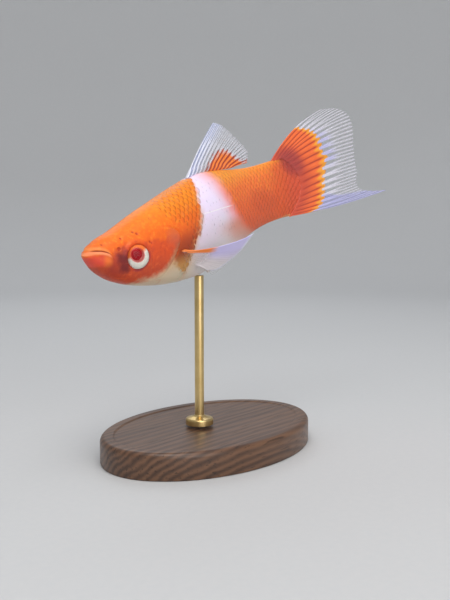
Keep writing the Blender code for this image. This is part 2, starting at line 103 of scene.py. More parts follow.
# %% [markdown]
# ## Floor and light
#
# A small object is photographed on a sheet of paper that curves up behind it, so that no
# edge or horizon shows. A grid whose far rows are bent up would do for one view. The views
# here go all round, so the sheet is a bowl: a profile of floor, quarter circle and wall is
# spun round its middle, and the same function turns the stand's rod later.
#
# Three soft lamps light it. The strongest hangs over the head, like the light above a tank,
# a wide one fills in from the camera's side, and a faint one behind parts the back from
# the paper.

# %% Floor and light
FLOOR_RADIUS = 0.30
RIM_RADIUS = 0.16
RIM_RISE = 0.50
LIT_PLACE = Vector((0, 0, 0.035))
LAMPS = (("lamp_over_head", (-0.12, -0.10, 0.34), 0.22, 0.60, (1.0, 0.98, 0.95)),
         ("lamp_by_camera", (-0.15, -0.30, 0.12), 0.28, 0.58, (1.0, 0.98, 0.96)),
         ("lamp_behind", (0.16, 0.20, 0.26), 0.20, 0.18, (0.93, 0.96, 1.0)))
ROOM_LIGHT = {"Color": (0.80, 0.83, 0.88, 1), "Strength": 0.60}


def link(name, mesh):
    """A new object with this mesh, in the scene."""
    thing = bpy.data.objects.new(name, mesh)
    bpy.context.scene.collection.objects.link(thing)
    return thing


def mesh_of(name, bm):
    """A mesh made from the bmesh, which is then let go."""
    mesh = bpy.data.meshes.new(name)
    bm.to_mesh(mesh)
    bm.free()
    mesh.shade_smooth()
    return mesh


def turned(profile, steps, merge):
    """A profile, each point a radius and a height, spun round the upright axis."""
    bm = bmesh.new()
    verts = [bm.verts.new((radius, 0, height)) for radius, height in profile]
    edges = [bm.edges.new(pair) for pair in zip(verts, verts[1:])]
    bmesh.ops.spin(bm, geom=verts + edges, cent=(0, 0, 0), axis=(0, 0, 1), angle=math.tau,
                   steps=steps, use_merge=True)
    bmesh.ops.remove_doubles(bm, verts=bm.verts, dist=merge)
    return bm


def paper_bowl():
    """A round sheet of paper with a rim that curves up all round."""
    profile = [(0, 0), (FLOOR_RADIUS / 2, 0)]
    for turn in np.linspace(0, math.pi / 2, 13):
        profile.append((FLOOR_RADIUS + RIM_RADIUS * math.sin(turn), RIM_RADIUS * (1 - math.cos(turn))))
    profile.append((FLOOR_RADIUS + RIM_RADIUS, RIM_RISE))
    bm = turned(profile, 96, 1e-6)
    bmesh.ops.recalc_face_normals(bm, faces=bm.faces)
    return link("paper", mesh_of("paper", bm))


def lamp(name, place, size, power, color):
    """A square soft lamp that faces the fish."""
    light = bpy.data.lights.new(name, "AREA")
    light.size = size
    light.energy = power
    light.color = color
    holder = link(name, light)
    holder.location = place
    holder.visible_camera = False
    holder.rotation_euler = (Vector(place) - LIT_PLACE).to_track_quat("Z", "Y").to_euler()


paper = paper_bowl()
for plan in LAMPS:
    lamp(*plan)
world = bpy.data.worlds.new("studio")
world.use_nodes = True
for key, value in ROOM_LIGHT.items():
    world.node_tree.nodes["Background"].inputs[key].default_value = value
bpy.context.scene.world = world
print("paper bowl", round(2 * FLOOR_RADIUS, 2), "m across, and three lamps")

# %% [markdown]
# ## Sums on a material's nodes
#
# A pattern such as "white between these two lines, but not on the cheek" is a sum. Written
# as nodes it is a long list of links, and written as a sum it is one line. This class wraps
# one output of a node, and each sign of arithmetic on it adds a Math node.

# %% Sums on nodes
def sign(operation):
    """A sign of arithmetic, as a Math node on a value and those that follow it."""
    return lambda self, *others: self.sum(operation, *others)


class Wire:
    """An output in a material's nodes that takes part in sums."""

    def __init__(self, tree, socket=None):
        self.tree = tree
        self.socket = socket

    def node(self, kind, settings=(), inputs=(), output=0):
        """Adds a node: its settings first, then the values or links of its inputs."""
        made = self.tree.nodes.new("ShaderNode" + kind)
        for name, value in dict(settings).items():
            if name == "stops":
                fill_ramp(made.color_ramp, value)
            elif name == "line":
                fill_curve(made.mapping, value)
            else:
                setattr(made, name, value)
        for key, value in dict(inputs).items():
            feed(made.inputs[key], value)
        return Wire(self.tree, made.outputs[output])

    def sum(self, operation, *others):
        """A Math node on this value and the others."""
        return self.node("Math", {"operation": operation}, dict(enumerate((self, *others))))

    __add__ = __radd__ = sign("ADD")
    __sub__ = sign("SUBTRACT")
    __mul__ = __rmul__ = sign("MULTIPLY")
    __truediv__ = sign("DIVIDE")
    __pow__ = sign("POWER")
    __abs__ = sign("ABSOLUTE")

    def __rsub__(self, other):
        return self.node("Math", {"operation": "SUBTRACT"}, {0: other, 1: self})

    def rise(self, low, high):
        """0 below low, 1 above high, and a soft step between. High first gives a fall."""
        limits = {"Value": self, "From Min": low, "From Max": high}
        return self.node("MapRange", {"interpolation_type": "SMOOTHSTEP"}, limits)

    def along(self, points, low, high):
        """The height over this value of a smooth line through the points, from low to high."""
        ends = points[0][0], points[-1][0]
        line = [((x - ends[0]) / (ends[1] - ends[0]), (y - low) / (high - low)) for x, y in points]
        share = (self - ends[0]) / (ends[1] - ends[0])
        return self.node("FloatCurve", {"line": line}, {"Value": share}) * (high - low) + low

    def over(self, under, upper):
        """A mix of two colours, with this value as the share of the upper one."""
        return self.node("Mix", {"data_type": "RGBA"}, {0: self, 6: solid(under), 7: solid(upper)}, 2)

    def ramp(self, stops):
        """The colour at this value on a ramp of stops, each a position and a colour."""
        return self.node("ValToRGB", {"stops": stops}, {0: self})

    def bumps(self, strength, distance):
        """Bumps with this value as their height."""
        return self.node("Bump", (), {"Strength": strength, "Distance": distance, "Height": self})


def feed(socket, value):
    """Links a Wire to a node's input, or sets a plain value there."""
    if isinstance(value, Wire):
        value.tree.links.new(value.socket, socket)
    else:
        socket.default_value = value


def solid(color):
    """A colour with its alpha, or a link as it is."""
    return color if isinstance(color, Wire) else (*color, 1)


def fill_curve(mapping, points):
    """Puts the points on a Float Curve node."""
    curve = mapping.curves[0]
    while len(curve.points) < len(points):
        curve.points.new(0.5, 0.5)
    for spot, (x, y) in zip(curve.points, points):
        spot.location = (x, y)
    mapping.update()


def fill_ramp(ramp, stops):
    """Puts the stops, each a position and a colour, on a Color Ramp node."""
    while len(ramp.elements) < len(stops):
        ramp.elements.new(0.5)
    for element, (position, color) in zip(ramp.elements, stops):
        element.position = position
        element.color = (*color, 1)


print("sums on nodes are ready")

# %% [markdown]
# ### Materials and patterns
#
# Every material starts from the same shader. A look is a function that builds the nodes and
# names the shader's inputs they feed, so that each material later on is only its look.
# Patterns are noise over a place on the fish or on the object, never a picture.

# %% Materials and patterns
def new_material(name, look, **constants):
    """A material with these constants, and with what look gives for its shader's inputs."""
    material = bpy.data.materials.new(name)
    material.use_nodes = True
    shader = material.node_tree.nodes["Principled BSDF"]
    for key, value in {**constants, **look(Wire(material.node_tree))}.items():
        feed(shader.inputs[key.replace("_", " ")], value)
    return material


def layered(color, *layers):
    """A colour with others laid over it in turn, each after its share."""
    for share, upper in layers:
        color = share.over(color, upper)
    return color


def attribute(wire, name, output=1):
    """An attribute of the mesh, as a vector."""
    return wire.node("Attribute", {"attribute_name": name}, (), output)


def number(wire, name):
    """An attribute of the mesh that is one number."""
    return attribute(wire, name, 2)


def split(vector):
    """The three parts of a vector."""
    return [vector.node("SeparateXYZ", (), {0: vector}, i) for i in range(3)]


def stretched(wire, scale, turn=(0, 0, 0)):
    """The object's own coordinates in metres, turned and then drawn out or in."""
    place = wire.node("TexCoord", (), (), 3)
    return wire.node("Mapping", (), {"Vector": place, "Scale": scale, "Rotation": turn})


def noise(wire, scale, detail=2.0, vector=None):
    """Noise over a vector, or over the object's own coordinates in metres."""
    if vector is None:
        vector = wire.node("TexCoord", (), (), 3)
    return wire.node("TexNoise", (), {"Vector": vector, "Scale": scale, "Detail": detail})


print("materials can be made")

# %% [markdown]
# ## The body's plan
#
# A fish is measured along its middle line. Here s runs from 0 at the snout to 1 at the end
# of the flesh, l is the distance to the fish's left and z the height above the middle line,
# all in shares of that length. The outline is a few heights at named stations, the section
# is a rounded oval, and the middle line bends as the fish swims. These are the sizes that
# the solids were made from, so the skin follows them and bridges the gaps between them.

# %% The body's plan
def table(*thousandths, each=2):
    """Rows of numbers, written in thousandths to keep the long tables short."""
    return np.array(thousandths).reshape(-1, each) / 1000


LENGTH = 0.055
NOSE_DOWN = math.radians(14.3)
BODY_TURN = math.radians(6.2)
TAIL_TURN = math.radians(-23.9)
BODY_BEND = (0.25, 0.4)
TAIL_BEND = (0.65, 0.4)
STATIONS, BACK, BELLY, HALF_WIDTH = table(-20, 50, 30, 20, 0, 53, 11, 28.5, 20, 60, -18, 38,
    50, 69.2, -46.5, 51, 100, 77.2, -76.5, 65, 200, 101, -114, 80, 300, 123, -137, 82,
    400, 142, -148, 77, 480, 152, -147, 69, 600, 142.5, -130, 53, 700, 124.5, -112, 41,
    800, 113, -98, 31, 900, 112, -96, 22, 1000, 111, -100, 14, each=4).T
SECTION_POWER = 2.2
SNOUT_TIP = -0.02
SNOUT_CAP = 0.045
TAIL_ROUNDING = 0.035
TAIL_ROUNDING_FROM = 0.9
TAIL_SIDES = 32
TAIL_CAP = 0.012
TAIL_THIN_FROM = 0.84
TAIL_THINNING = 0.85
ROD_STATION = 0.43
BELLY_HEIGHT = 0.031
MILLIMETRE = 0.001
MM = MILLIMETRE / LENGTH


def smooth(x, stations, values):
    """Values at x on a smooth curve through the values at the stations."""
    slopes = np.gradient(values, stations)
    i = np.clip(np.searchsorted(stations, x, side="right") - 1, 0, len(stations) - 2)
    step = stations[i + 1] - stations[i]
    t = (x - stations[i]) / step
    start = values[i] * (1 + 2 * t) + slopes[i] * step * t
    end = values[i + 1] * (3 - 2 * t) - slopes[i + 1] * step * (1 - t)
    return start * (1 - t) ** 2 + end * t ** 2


def ease(t):
    """A soft step from 0 to 1."""
    t = np.clip(t, 0, 1)
    return t * t * (3 - 2 * t)


def bump(distance, width):
    """A soft bump of height 1 that fades over a width."""
    return np.exp(-(distance / width) ** 2)


def spine_table():
    """Points of the bent middle line, and its heading at each."""
    s = np.linspace(-0.1, 1.6, 681)
    body = np.clip((s - BODY_BEND[0]) / BODY_BEND[1], 0, 1)
    tail = np.clip((s - TAIL_BEND[0]) / TAIL_BEND[1], 0, None)
    heading = BODY_TURN * body + TAIL_TURN * tail
    middle = (heading[1:] + heading[:-1]) / 2
    x = s[0] + np.concatenate(([0], np.cumsum(np.cos(middle) * np.diff(s))))
    y = np.concatenate(([0], np.cumsum(np.sin(middle) * np.diff(s))))
    return s, x, y, heading


SPINE = spine_table()
TIP = np.array(Matrix.Rotation(-NOSE_DOWN, 3, "Y"))


def bent(places):
    """Points in metres of places (s, l, z), bent and tipped but not yet set on the stand."""
    s, l, z = np.moveaxis(np.asarray(places, float), -1, 0)
    heading = np.interp(s, SPINE[0], SPINE[3])
    x = np.interp(s, SPINE[0], SPINE[1]) + l * np.sin(heading)
    y = np.interp(s, SPINE[0], SPINE[2]) - l * np.cos(heading)
    return np.stack((x, y, z), -1) * LENGTH @ TIP.T


def section(s):
    """Middle height, half height and half width of the trunk at stations."""
    cap = np.sqrt(np.clip(1 - np.clip(1 - (s - SNOUT_TIP) / SNOUT_CAP, 0, None) ** 2, 0, None))
    back, belly = smooth(s, STATIONS, BACK), smooth(s, STATIONS, BELLY)
    return (back + belly) / 2, (back - belly) / 2 * cap, smooth(s, STATIONS, HALF_WIDTH) * cap


def outward(across, up, half_width, half_height):
    """The outward direction of a section's edge, as (across, up)."""
    power = SECTION_POWER - 1
    a = np.sign(across) * np.abs(across / half_width) ** power / half_width
    b = np.sign(up) * np.abs(up / half_height) ** power / half_height
    size = np.hypot(a, b)
    return a / size, b / size


def trunk(s, angle, out=0.0, pinch=1.0):
    """Places on the trunk at stations and angles round it, moved out by shares of the length."""
    middle, half_height, half_width = section(s)
    across = np.sign(np.cos(angle)) * np.abs(np.cos(angle)) ** (2 / SECTION_POWER)
    up = np.sign(np.sin(angle)) * np.abs(np.sin(angle)) ** (2 / SECTION_POWER)
    rounding = TAIL_ROUNDING * np.clip((s - TAIL_ROUNDING_FROM) / (1 - TAIL_ROUNDING_FROM), 0, 1)
    l, z = across * half_width, up * half_height
    n = outward(l, z, half_width, half_height)
    return np.stack((s + rounding * (1 - 2 * up * up), (l + n[0] * out) * pinch,
                     middle + z + n[1] * out), -1)


def tail_taper(s):
    """How thin the flesh gets towards the tail fin, as a share of its width."""
    return 1 - TAIL_THINNING * ease((s - TAIL_THIN_FROM) / (1 - TAIL_THIN_FROM))


def flank(s, z, side, out=0.0):
    """Places on one side's flank at stations and heights, moved out by shares of the length."""
    middle, half_height, half_width = section(s)
    up = np.clip((z - middle) / half_height, -0.999, 0.999)
    l, z = (1 - np.abs(up) ** SECTION_POWER) ** (1 / SECTION_POWER) * half_width, up * half_height
    n = outward(l, z, half_width, half_height)
    return np.stack((s + 0 * up, side * (l + n[0] * out), middle + z + n[1] * out), -1)


def stand_place():
    """Where the bent fish goes, so that its tail and belly are where the solids have them."""
    tail = bent(trunk(1.0, np.arange(TAIL_SIDES) * math.tau / TAIL_SIDES))
    belly = bent(trunk(ROD_STATION, -math.pi / 2))
    return np.array((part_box("tail")[1].x - tail[:, 0].max(), -belly[1], BELLY_HEIGHT - belly[2]))


FISH_AT = stand_place()


def world_of(places):
    """Points in metres, on the stand, of places (s, l, z)."""
    return bent(places) + FISH_AT


print("the fish stands at", FISH_AT.round(5))

# %% [markdown]
# ## From a bmesh to a finished piece
#
# Every piece ends the same way: its faces are turned outwards, the mesh gets a name, and the
# object rides on the one body that this still model has. Values that the materials read,
# such as a vertex's place on the fish, are kept on the mesh as attributes.

# %% Finishing a piece
def finish(name, bm, replaced, slot, **values):
    """An object of the mesh that rides on the fish's body; the CAD nodes named are hidden."""
    bmesh.ops.recalc_face_normals(bm, faces=bm.faces)
    if bm.calc_volume(signed=True) < 0:
        bmesh.ops.reverse_faces(bm, faces=bm.faces)
    mesh = mesh_of(name, bm)
    for key, value in values.items():
        kind, part = ("FLOAT_VECTOR", "vector") if np.ndim(value) == 2 else ("FLOAT", "value")
        data = mesh.attributes.new(key, kind, "POINT").data
        data.foreach_set(part, np.asarray(value, np.float32).ravel())
    piece = link(name, mesh)
    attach(piece, "root")
    if replaced:
        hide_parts(*replaced)
    triangles = sum(len(face.vertices) - 2 for face in mesh.polygons)
    print(f"{name}: {len(mesh.vertices)} corners, {triangles} triangles")
    return piece


def move_verts(bm, points):
    """Puts the vertices of a bmesh at these points."""
    for vert, point in zip(bm.verts, points):
        vert.co = point


print("pieces can be finished")

# %% [markdown]
# ## The skin
#
# The head, jaw, gill covers, body and tail of a fish are one skin. A ball wraps well onto
# it: one pole becomes the snout, the other the end of the tail, and each ring of the ball
# one station of the body. Rings lie close together on the head, where the small forms are,
# and further apart along the body. The lips, the slit of the mouth, the socket and rim of
# the eye, the nostrils, the pores and the free edge of the gill cover are then pushed out
# or in along the skin's own normals, by the depths in millimetres that are worked out here.

# %% Places on the head
AROUND = 224
END_RINGS = 9
SKIN_DEPTH = 0.09
SNOUT_RANGE = 0.0009
SNOUT_EASING = 165.0
MOUTH_LINE = table(-60, 45.5, 8, 46.5, 22, 43, 34, 37, 44, 28)
LIP_CORNER = 0.044
EYE_AT = (0.1195, -0.001)
EYE_RADIUS = 0.0350
EYE_TURN = 0.16
EYE_BULGE = 0.024
EYE_SINK = 0.009
PORE_DEPTH = 0.12
PITS = table(71, 36, 4.2, 280, 143, 59, 4, 120, 135, 65, 3.2, 120, 92, 59, 3, 120,
             35, 57, 2.4, 120, 208, 84, 2.6, 120, 170, 29, 3.8, 120, 175, 24, 3, 120, each=4)
GILL_HEIGHTS, GILL_REAR, GILL_FRONT = table(-92, 186, 174, -84, 200, 169, -60, 227, 166, -30, 256, 165,
    -5, 277, 166, 20, 283, 170, 38, 270, 177, 49, 250, 188, 55, 226, 204, each=3).T
LIP_HEIGHTS = (0.26, 0.07, 0.11)
MOUTH_DEPTH = 0.22
FOLD_DEPTH = 0.12
SOCKET_DEPTH = 0.75
GILL_STEP = 0.16
CHEEK_DEPTH = 0.07


def eye_frame(side):
    """The middle of an eye and the direction it looks in, in metres."""
    s, z = EYE_AT
    r = EYE_RADIUS
    here = Vector(world_of(flank(s, z, side)))
    ahead = Vector(world_of(flank(s - r, z, side)) - world_of(flank(s + r, z, side)))
    above = Vector(world_of(flank(s, z + r, side)) - world_of(flank(s, z - r, side)))
    look = ahead.cross(above).normalized() * side
    if look.y * side > 0:
        look.negate()
    look = (look + ahead.normalized() * EYE_TURN).normalized()
    return here - look * EYE_SINK * LENGTH, look


def eye_distance(points):
    """How far points lie from the axis of the eye on their side, and how high on its rim."""
    near, lift = np.full(len(points), 9.0), np.zeros(len(points))
    for side in (1, -1):
        middle, look = (np.array(v) for v in eye_frame(side))
        out = points - middle
        beside = out - np.outer(out @ look, look)
        far = np.linalg.norm(beside, axis=1) / LENGTH
        same = (out @ look > -0.02 * LENGTH) & (far < near)
        near[same] = far[same]
        lift[same] = (beside[same, 2] / LENGTH) / np.maximum(far[same], 1e-6)
    return near, lift


def head_relief(places, points):
    """How far the skin stands out or in, in millimetres, for the forms of the head."""
    s, _, z = places.T
    face = ease((0.30 - s) / 0.02)
    mouth = z - np.interp(s, MOUTH_LINE[:, 0], MOUTH_LINE[:, 1])
    at_mouth = ease((LIP_CORNER - s) / 0.010)
    back = ease((s + 0.003) / 0.014)
    tip, upper, lower = LIP_HEIGHTS
    lips = (tip + (upper - tip) * back) * bump(mouth - 0.0075, 0.0075)
    lips += lower * back * bump(mouth + 0.0068, 0.0062) - MOUTH_DEPTH * back * bump(mouth, 0.0020)
    relief = at_mouth * lips - 0.10 * ease((0.004 - s) / 0.016)
    relief -= FOLD_DEPTH * bump(np.hypot(s - 0.050, (z - 0.020) / 2.2), 0.006)
    near, lift = eye_distance(points)
    rim = bump(near - EYE_RADIUS - 0.0060, 0.0060) * (0.13 + 0.15 * np.clip(lift, -0.6, 1))
    socket = ease((EYE_RADIUS * 0.985 - near) / 0.0035)
    relief += rim - SOCKET_DEPTH * socket
    height = np.clip(z, GILL_HEIGHTS[0], GILL_HEIGHTS[-1])
    behind = s - smooth(height, GILL_HEIGHTS, GILL_REAR)
    in_span = ease((z - GILL_HEIGHTS[0]) / 0.012) * ease((GILL_HEIGHTS[-1] + 0.004 - z) / 0.012)
    plate = GILL_STEP * ease((behind + 0.055) / 0.050) * (behind < 0)
    relief += in_span * (plate - GILL_STEP * bump(behind - 0.004, 0.0035))
    cheek = s - smooth(height, GILL_HEIGHTS, GILL_FRONT)
    relief -= in_span * CHEEK_DEPTH * bump(cheek, 0.0045)
    return (relief - pits(s, z)) * face


def pits(s, z):
    """The depth of the nostril and the pores, in millimetres."""
    return sum(depth * bump(np.hypot(s - at_s, z - at_z), radius) for at_s, at_z, radius, depth in PITS)


print("the head has", len(PITS), "pits on each side")

# %% [markdown]
# ### The skin's mesh
#
# The rings follow a curve at the blunt snout, then go in even steps, and the last ones close
# the flesh to a thin edge inside the tail fin. The ball's rings and columns also make the
# map that the export bakes to, so no unwrapping tool is needed.

# %% The skin's mesh
def skin_rings():
    """The station of each ring of the ball, and how far it is pinched flat at the tail's end."""
    snout = SNOUT_TIP + SNOUT_CAP * (1 - np.cos(np.linspace(0, math.pi / 2, 34)[1:]))
    head = np.arange(snout[-1] + 0.0016, 0.30, 0.0023)
    body = np.linspace(head[-1] + 0.006, 1.0, 104)
    open_rings = np.concatenate((snout, head, body))
    pinch = np.cos(np.linspace(0, math.pi / 2, END_RINGS + 2)[1:-1])
    return (np.concatenate((open_rings, np.full(END_RINGS, 1.0))),
            np.concatenate((np.ones(len(open_rings)), pinch)))


def make_skin():
    """The ball drawn out to the fish, with the forms of the head."""
    stations, pinch = skin_rings()
    rows = len(stations) + 1
    bm = bmesh.new()
    bmesh.ops.create_uvsphere(bm, u_segments=AROUND, v_segments=rows, radius=1)
    ball = np.array([vert.co for vert in bm.verts])
    row = np.rint(np.arccos(np.clip(ball[:, 2], -1, 1)) / math.pi * rows).astype(int)
    angle = np.arctan2(ball[:, 1], ball[:, 0])
    ring = np.clip(row, 1, rows - 1) - 1
    flat = pinch[ring]
    places = trunk(stations[ring], angle, -SKIN_DEPTH * MM * 0.5, flat * tail_taper(stations[ring]))
    places[:, 0] += TAIL_CAP * np.sqrt(np.clip(1 - flat ** 2, 0, 1))
    places[row == 0] = (SNOUT_TIP, 0, section(SNOUT_TIP)[0])
    places[row == rows] = (1 + TAIL_ROUNDING + TAIL_CAP, 0, section(1.0)[0])
    points = world_of(places)
    move_verts(bm, points)
    bmesh.ops.recalc_face_normals(bm, faces=bm.faces)
    bm.normal_update()
    normals = np.array([vert.normal for vert in bm.verts])
    if bm.calc_volume(signed=True) < 0:
        normals = -normals
    coated = ease((places[:, 0] - 0.22) / 0.08)
    relief = head_relief(places, points) - SKIN_DEPTH * 0.5 * coated
    points = points + normals * (relief * MILLIMETRE)[:, None]
    points[:, 0] += SNOUT_EASING * np.clip(cad_box[0][0] + SNOUT_RANGE - points[:, 0], 0, None) ** 2
    move_verts(bm, points)
    lay_map(bm, row / rows, angle / math.tau)
    body = ("head", "jaw", "gill_cover_left", "gill_cover_right", "torso", "tail")
    # How deep each place lies in the nostril or a pore; the material paints shade there by this share.
    dark = np.clip(pits(places[:, 0], places[:, 2]) / PORE_DEPTH, 0, 1)
    return finish("skin", bm, body, "skin", fish=places, spot=places, rim=0 * dark,
                  tint=0 * dark + 0.5, pit=dark)


def on_map(along, around):
    """A place on the map that the export bakes to, from shares along the fish and round it."""
    return 0.01 + 0.98 * along, 0.005 + 0.985 * around


def lay_map(bm, along, around):
    """Unwraps the ball's rings and columns onto the map."""
    uv = bm.loops.layers.uv.new("OFBake")
    bm.verts.index_update()
    for face in bm.faces:
        rings = [along[loop.vert.index] for loop in face.loops]
        turns = [around[loop.vert.index] % 1 for loop in face.loops]
        wide = max(turns) - min(turns) > 0.5
        turns = [turn + (1 if wide and turn < 0.5 else 0) for turn in turns]
        rest = [turn for ring, turn in zip(rings, turns) if ring not in (0, 1)]
        for loop, ring, turn in zip(face.loops, rings, turns):
            loop[uv].uv = on_map(ring, sum(rest) / len(rest) if ring in (0, 1) else turn)


skin = make_skin()

# %% [markdown]
# ## The colours of skin and scales
#
# A koi swordtail is marked like the carp: red and orange patches on a pearly ground. The
# edges of the patches are kept here as lines over the fish's own places, and a little noise
# makes them ragged, because a real edge follows the scales. Skin and scales read the same
# lines, so the markings run through both. The other side of a living fish never matches,
# so there the noise and a small shift give the patches another edge.

# %% The lines between the colours
SADDLE_FRONT = table(-160, 285, -100, 298, -60, 318, -39, 338, -11, 360, 20, 386, 53, 402, 89, 411,
                     121, 428, 149, 448, 160, 455)
SADDLE_REAR = table(-160, 860, -110, 770, -90, 720, -49, 650, -12, 614, 23, 585, 49, 574, 85, 557,
                    110, 549, 146, 533, 160, 530)
CHEEK_TOP = table(0, 20, 40, 27, 70, 35, 98, 42, 173, 29, 203, 26, 230, 20, 290, 10)
THROAT_TOP = table(90, -86, 113, -77, 138, -75, 165, -72, 193, -66, 215, -55, 233, -40, 245, -29,
                   260, -20)
BRONZE_FRONT = table(-130, 310, -109, 297, -89, 273, -54, 252, -23, 262, 3, 275, 20, 280)
BRONZE_REAR = table(-130, 285, -110, 299, -92, 306, -72, 314, -56, 327, -36, 336, -17, 352, 8, 374,
                    40, 395)
# The line of the septum's low ridge, drawn on the saddle as a painted highlight.
SEPTUM = table(405, 46, 440, 43, 473, 40, 510, 37, 575, 30)
# Flank colours from belly to back: the darker low stops are partly the fish's own red and partly painted
# shade.
FRONT_FLANK = ((0.0, (0.50, 0.080, 0.03)), (0.33, (0.66, 0.095, 0.025)), (0.5, (0.80, 0.120, 0.022)),
               (0.68, (0.90, 0.165, 0.020)), (0.85, (0.95, 0.260, 0.018)))
REAR_FLANK = ((0.1, (0.66, 0.12, 0.05)), (0.35, (0.80, 0.135, 0.05)), (0.55, (0.90, 0.16, 0.05)),
              (0.75, (0.96, 0.21, 0.055)), (0.9, (0.98, 0.34, 0.05)))
# Pearl from belly to back: the greyer low stops are partly the saddle's own tone and partly painted shade.
PEARL = ((0.0, (0.66, 0.58, 0.55)), (0.25, (0.70, 0.63, 0.63)), (0.45, (0.78, 0.69, 0.78)),
         (0.65, (0.90, 0.78, 0.98)), (0.82, (0.90, 0.78, 1.0)), (0.97, (0.90, 0.74, 0.92)))
DUSK = (0.34, 0.050, 0.055)
# A patch of the face: its middle, half sizes, raggedness, where it ends and is full, its
# share and its colour.
FACE_PATCHES = (((0.062, -0.007), (0.031, 0.036), 2.6, (1.8, 0.1), 0.72, (0.34, 0.040, 0.028)),
                ((0.077, -0.003), (0.018, 0.034), 2.4, (1.9, 0.0), 0.82, (0.15, 0.022, 0.026)),
                ((0.084, 0.026), (0.008, 0.014), 2.0, (1.8, 0.2), 0.45, (0.30, 0.030, 0.030)),
                ((0.026, -0.008), (0.020, 0.018), 2.0, (1.6, 0.2), 0.45, (0.34, 0.045, 0.03)),
                ((0.004, 0.018), (0.030, 0.017), 2.0, (1.8, 0.1), 0.80, (0.80, 0.080, 0.060)))


def oval(s, z, middle, size):
    """0 in the middle of an oval, 1 on its edge and more beyond it."""
    return ((s - middle[0]) / size[0]) ** 2.0 + ((z - middle[1]) / size[1]) ** 2.0


def dusk_share(s, z):
    """How dusky the end of the flesh and the root of the tail fin are."""
    high = oval(s - z * 0.9, z + s * 0.9, (0.912, 0.980), (0.092, 0.060))
    low = oval(s, z + s * 0.16, (1.025, -0.244), (0.060, 0.012))
    return high.rise(1.6, 0.1) + low.rise(1.6, 0.1) * 0.7


class Place:
    """What the colours are worked out from: a place on the fish, noise, and the gill cover."""

    def __init__(self, wire):
        whole = attribute(wire, "fish")
        s, self.l, z = split(whole)
        self.s, self.z = s, z
        self.ragged = noise(wire, 46.0, 2.5, whole) - 0.5
        self.broad = noise(wire, 9.0, 2.0, whole) - 0.5
        self.patch = noise(wire, 90.0, 5.0, whole)
        self.height = (z + 0.15) / 0.3
        self.past_gill = s - z.along(tuple(zip(GILL_HEIGHTS, GILL_REAR)), 0.15, 0.30)
        inside_gill = self.past_gill.rise(0.004, -0.002) * z.rise(0.056, 0.050)
        below_gill = z.rise(-0.088, -0.096) * s.rise(0.22, 0.19)
        self.head = (inside_gill + below_gill + s.rise(0.180, 0.172)).rise(0.2, 0.8)
        self.behind_gill = (1 - self.head) * z.rise(0.040, -0.015)
        self.cream = z.rise(-0.10, -0.03).over((0.64, 0.52, 0.37), (0.64, 0.38, 0.19))


print("the lines of the markings have", len(SADDLE_FRONT) + len(SADDLE_REAR), "points round the saddle")

# %% [markdown]
# ### Flank, head, bronze patch and saddle
#
# The colours are laid over each other as a painter would, the broad ones first: the orange
# flank, then cheek, throat and the small patches of the face, then the bronze patch behind
# the gill cover, and last the pearly saddle. One long sum could do the same, but short ones
# can be read and changed one at a time.

# %% The orange flank
def flank_color(p):
    """Red below and orange above, with the duller end of the tail. The darker low flank is partly the fish's
    own red and partly painted shade.
    """
    s, z, patch = p.s, p.z, p.patch
    color = s.rise(0.44, 0.56).over(p.height.ramp(FRONT_FLANK), p.height.ramp(REAR_FLANK))
    dull = oval(s, z + s * 0.25, (0.80, 0.195), (0.085, 0.042)) + p.ragged
    return layered(
        color,
        (patch.rise(0.48, 0.72) * 0.35 * z.rise(-0.02, 0.06), (0.98, 0.38, 0.04)),
        (patch.rise(0.50, 0.30) * 0.32, (0.78, 0.12, 0.025)),
        (s.rise(0.84, 0.94) * z.rise(0.114, 0.088) * 0.85, (0.80, 0.120, 0.045)),
        (s.rise(0.92, 0.99) * z.rise(0.116, 0.096) * 0.90, (0.78, 0.114, 0.058)),
        (dusk_share(s, z) * 0.70, DUSK),
        (s.rise(0.80, 0.88) * z.rise(-0.089, -0.0955) * 0.6, (0.88, 0.46, 0.20)),
        (dull.rise(1.6, 0.3) * 0.32, (0.50, 0.085, 0.045)))


print("the flank's colours are ready")

# %% The head
def head_color(p, color):
    """Cheek, throat, the patches of the face and the shadow at the eye. Also gives the throat's share."""
    s, z, ragged, patch, head = p.s, p.z, p.ragged, p.patch, p.head
    cheek = head * (z - s.along(CHEEK_TOP, 0.0, 0.06) + ragged * 0.030).rise(0.012, -0.016)
    lobe = oval(s, z, (0.260, 0.016), (0.022, 0.026)) ** 0.5 + ragged * 1.4
    below = z - s.along(THROAT_TOP, -0.10, 0.02) + ragged * 0.036
    throat = head * s.rise(0.090, 0.115) * below.rise(0.014, -0.016)
    flap = head * (p.past_gill + 0.016 + ragged * 0.02).rise(-0.012, 0.006) * z.rise(0.012, -0.010)
    color = layered(
        color,
        # Darker low on the cheek: partly the cheek's own red and partly painted shade.
        (cheek, z.rise(-0.06, 0.0).over((0.55, 0.075, 0.030), (0.70, 0.090, 0.025))),
        (cheek * patch.rise(0.50, 0.32) * 0.40, (0.50, 0.060, 0.035)),
        (cheek * patch.rise(0.54, 0.72) * 0.30, (0.92, 0.20, 0.05)),
        (head * lobe.rise(1.7, 0.0) * 0.50, (0.54, 0.14, 0.085)),
        (throat * 0.95, p.cream),
        (flap * z.rise(-0.075, -0.040) * 0.55, (0.40, 0.115, 0.055)))
    for middle, size, rough, limits, share, tint in FACE_PATCHES:
        spot = oval(s, z, middle, size) + ragged * rough
        color = (spot.rise(*limits) * share).over(color, tint)
    corner = oval(s, z, (0.033, 0.015), (0.010, 0.015)) ** 0.5 + ragged
    around = oval(s, z, EYE_AT, (1.0, 1.0)) ** 0.5 - EYE_RADIUS
    under = ((s - EYE_AT[0]) * 0.7 - (z - EYE_AT[1])).rise(0.004, 0.036)
    return throat, layered(
        color,
        (corner.rise(1.8, 0.0) * 0.70, (0.97, 0.24, 0.040)),
        # A painted shadow along the lower and rear rim of the eye.
        (around.rise(0.0085, 0.0015) * under * 0.65, (0.22, 0.026, 0.060)))


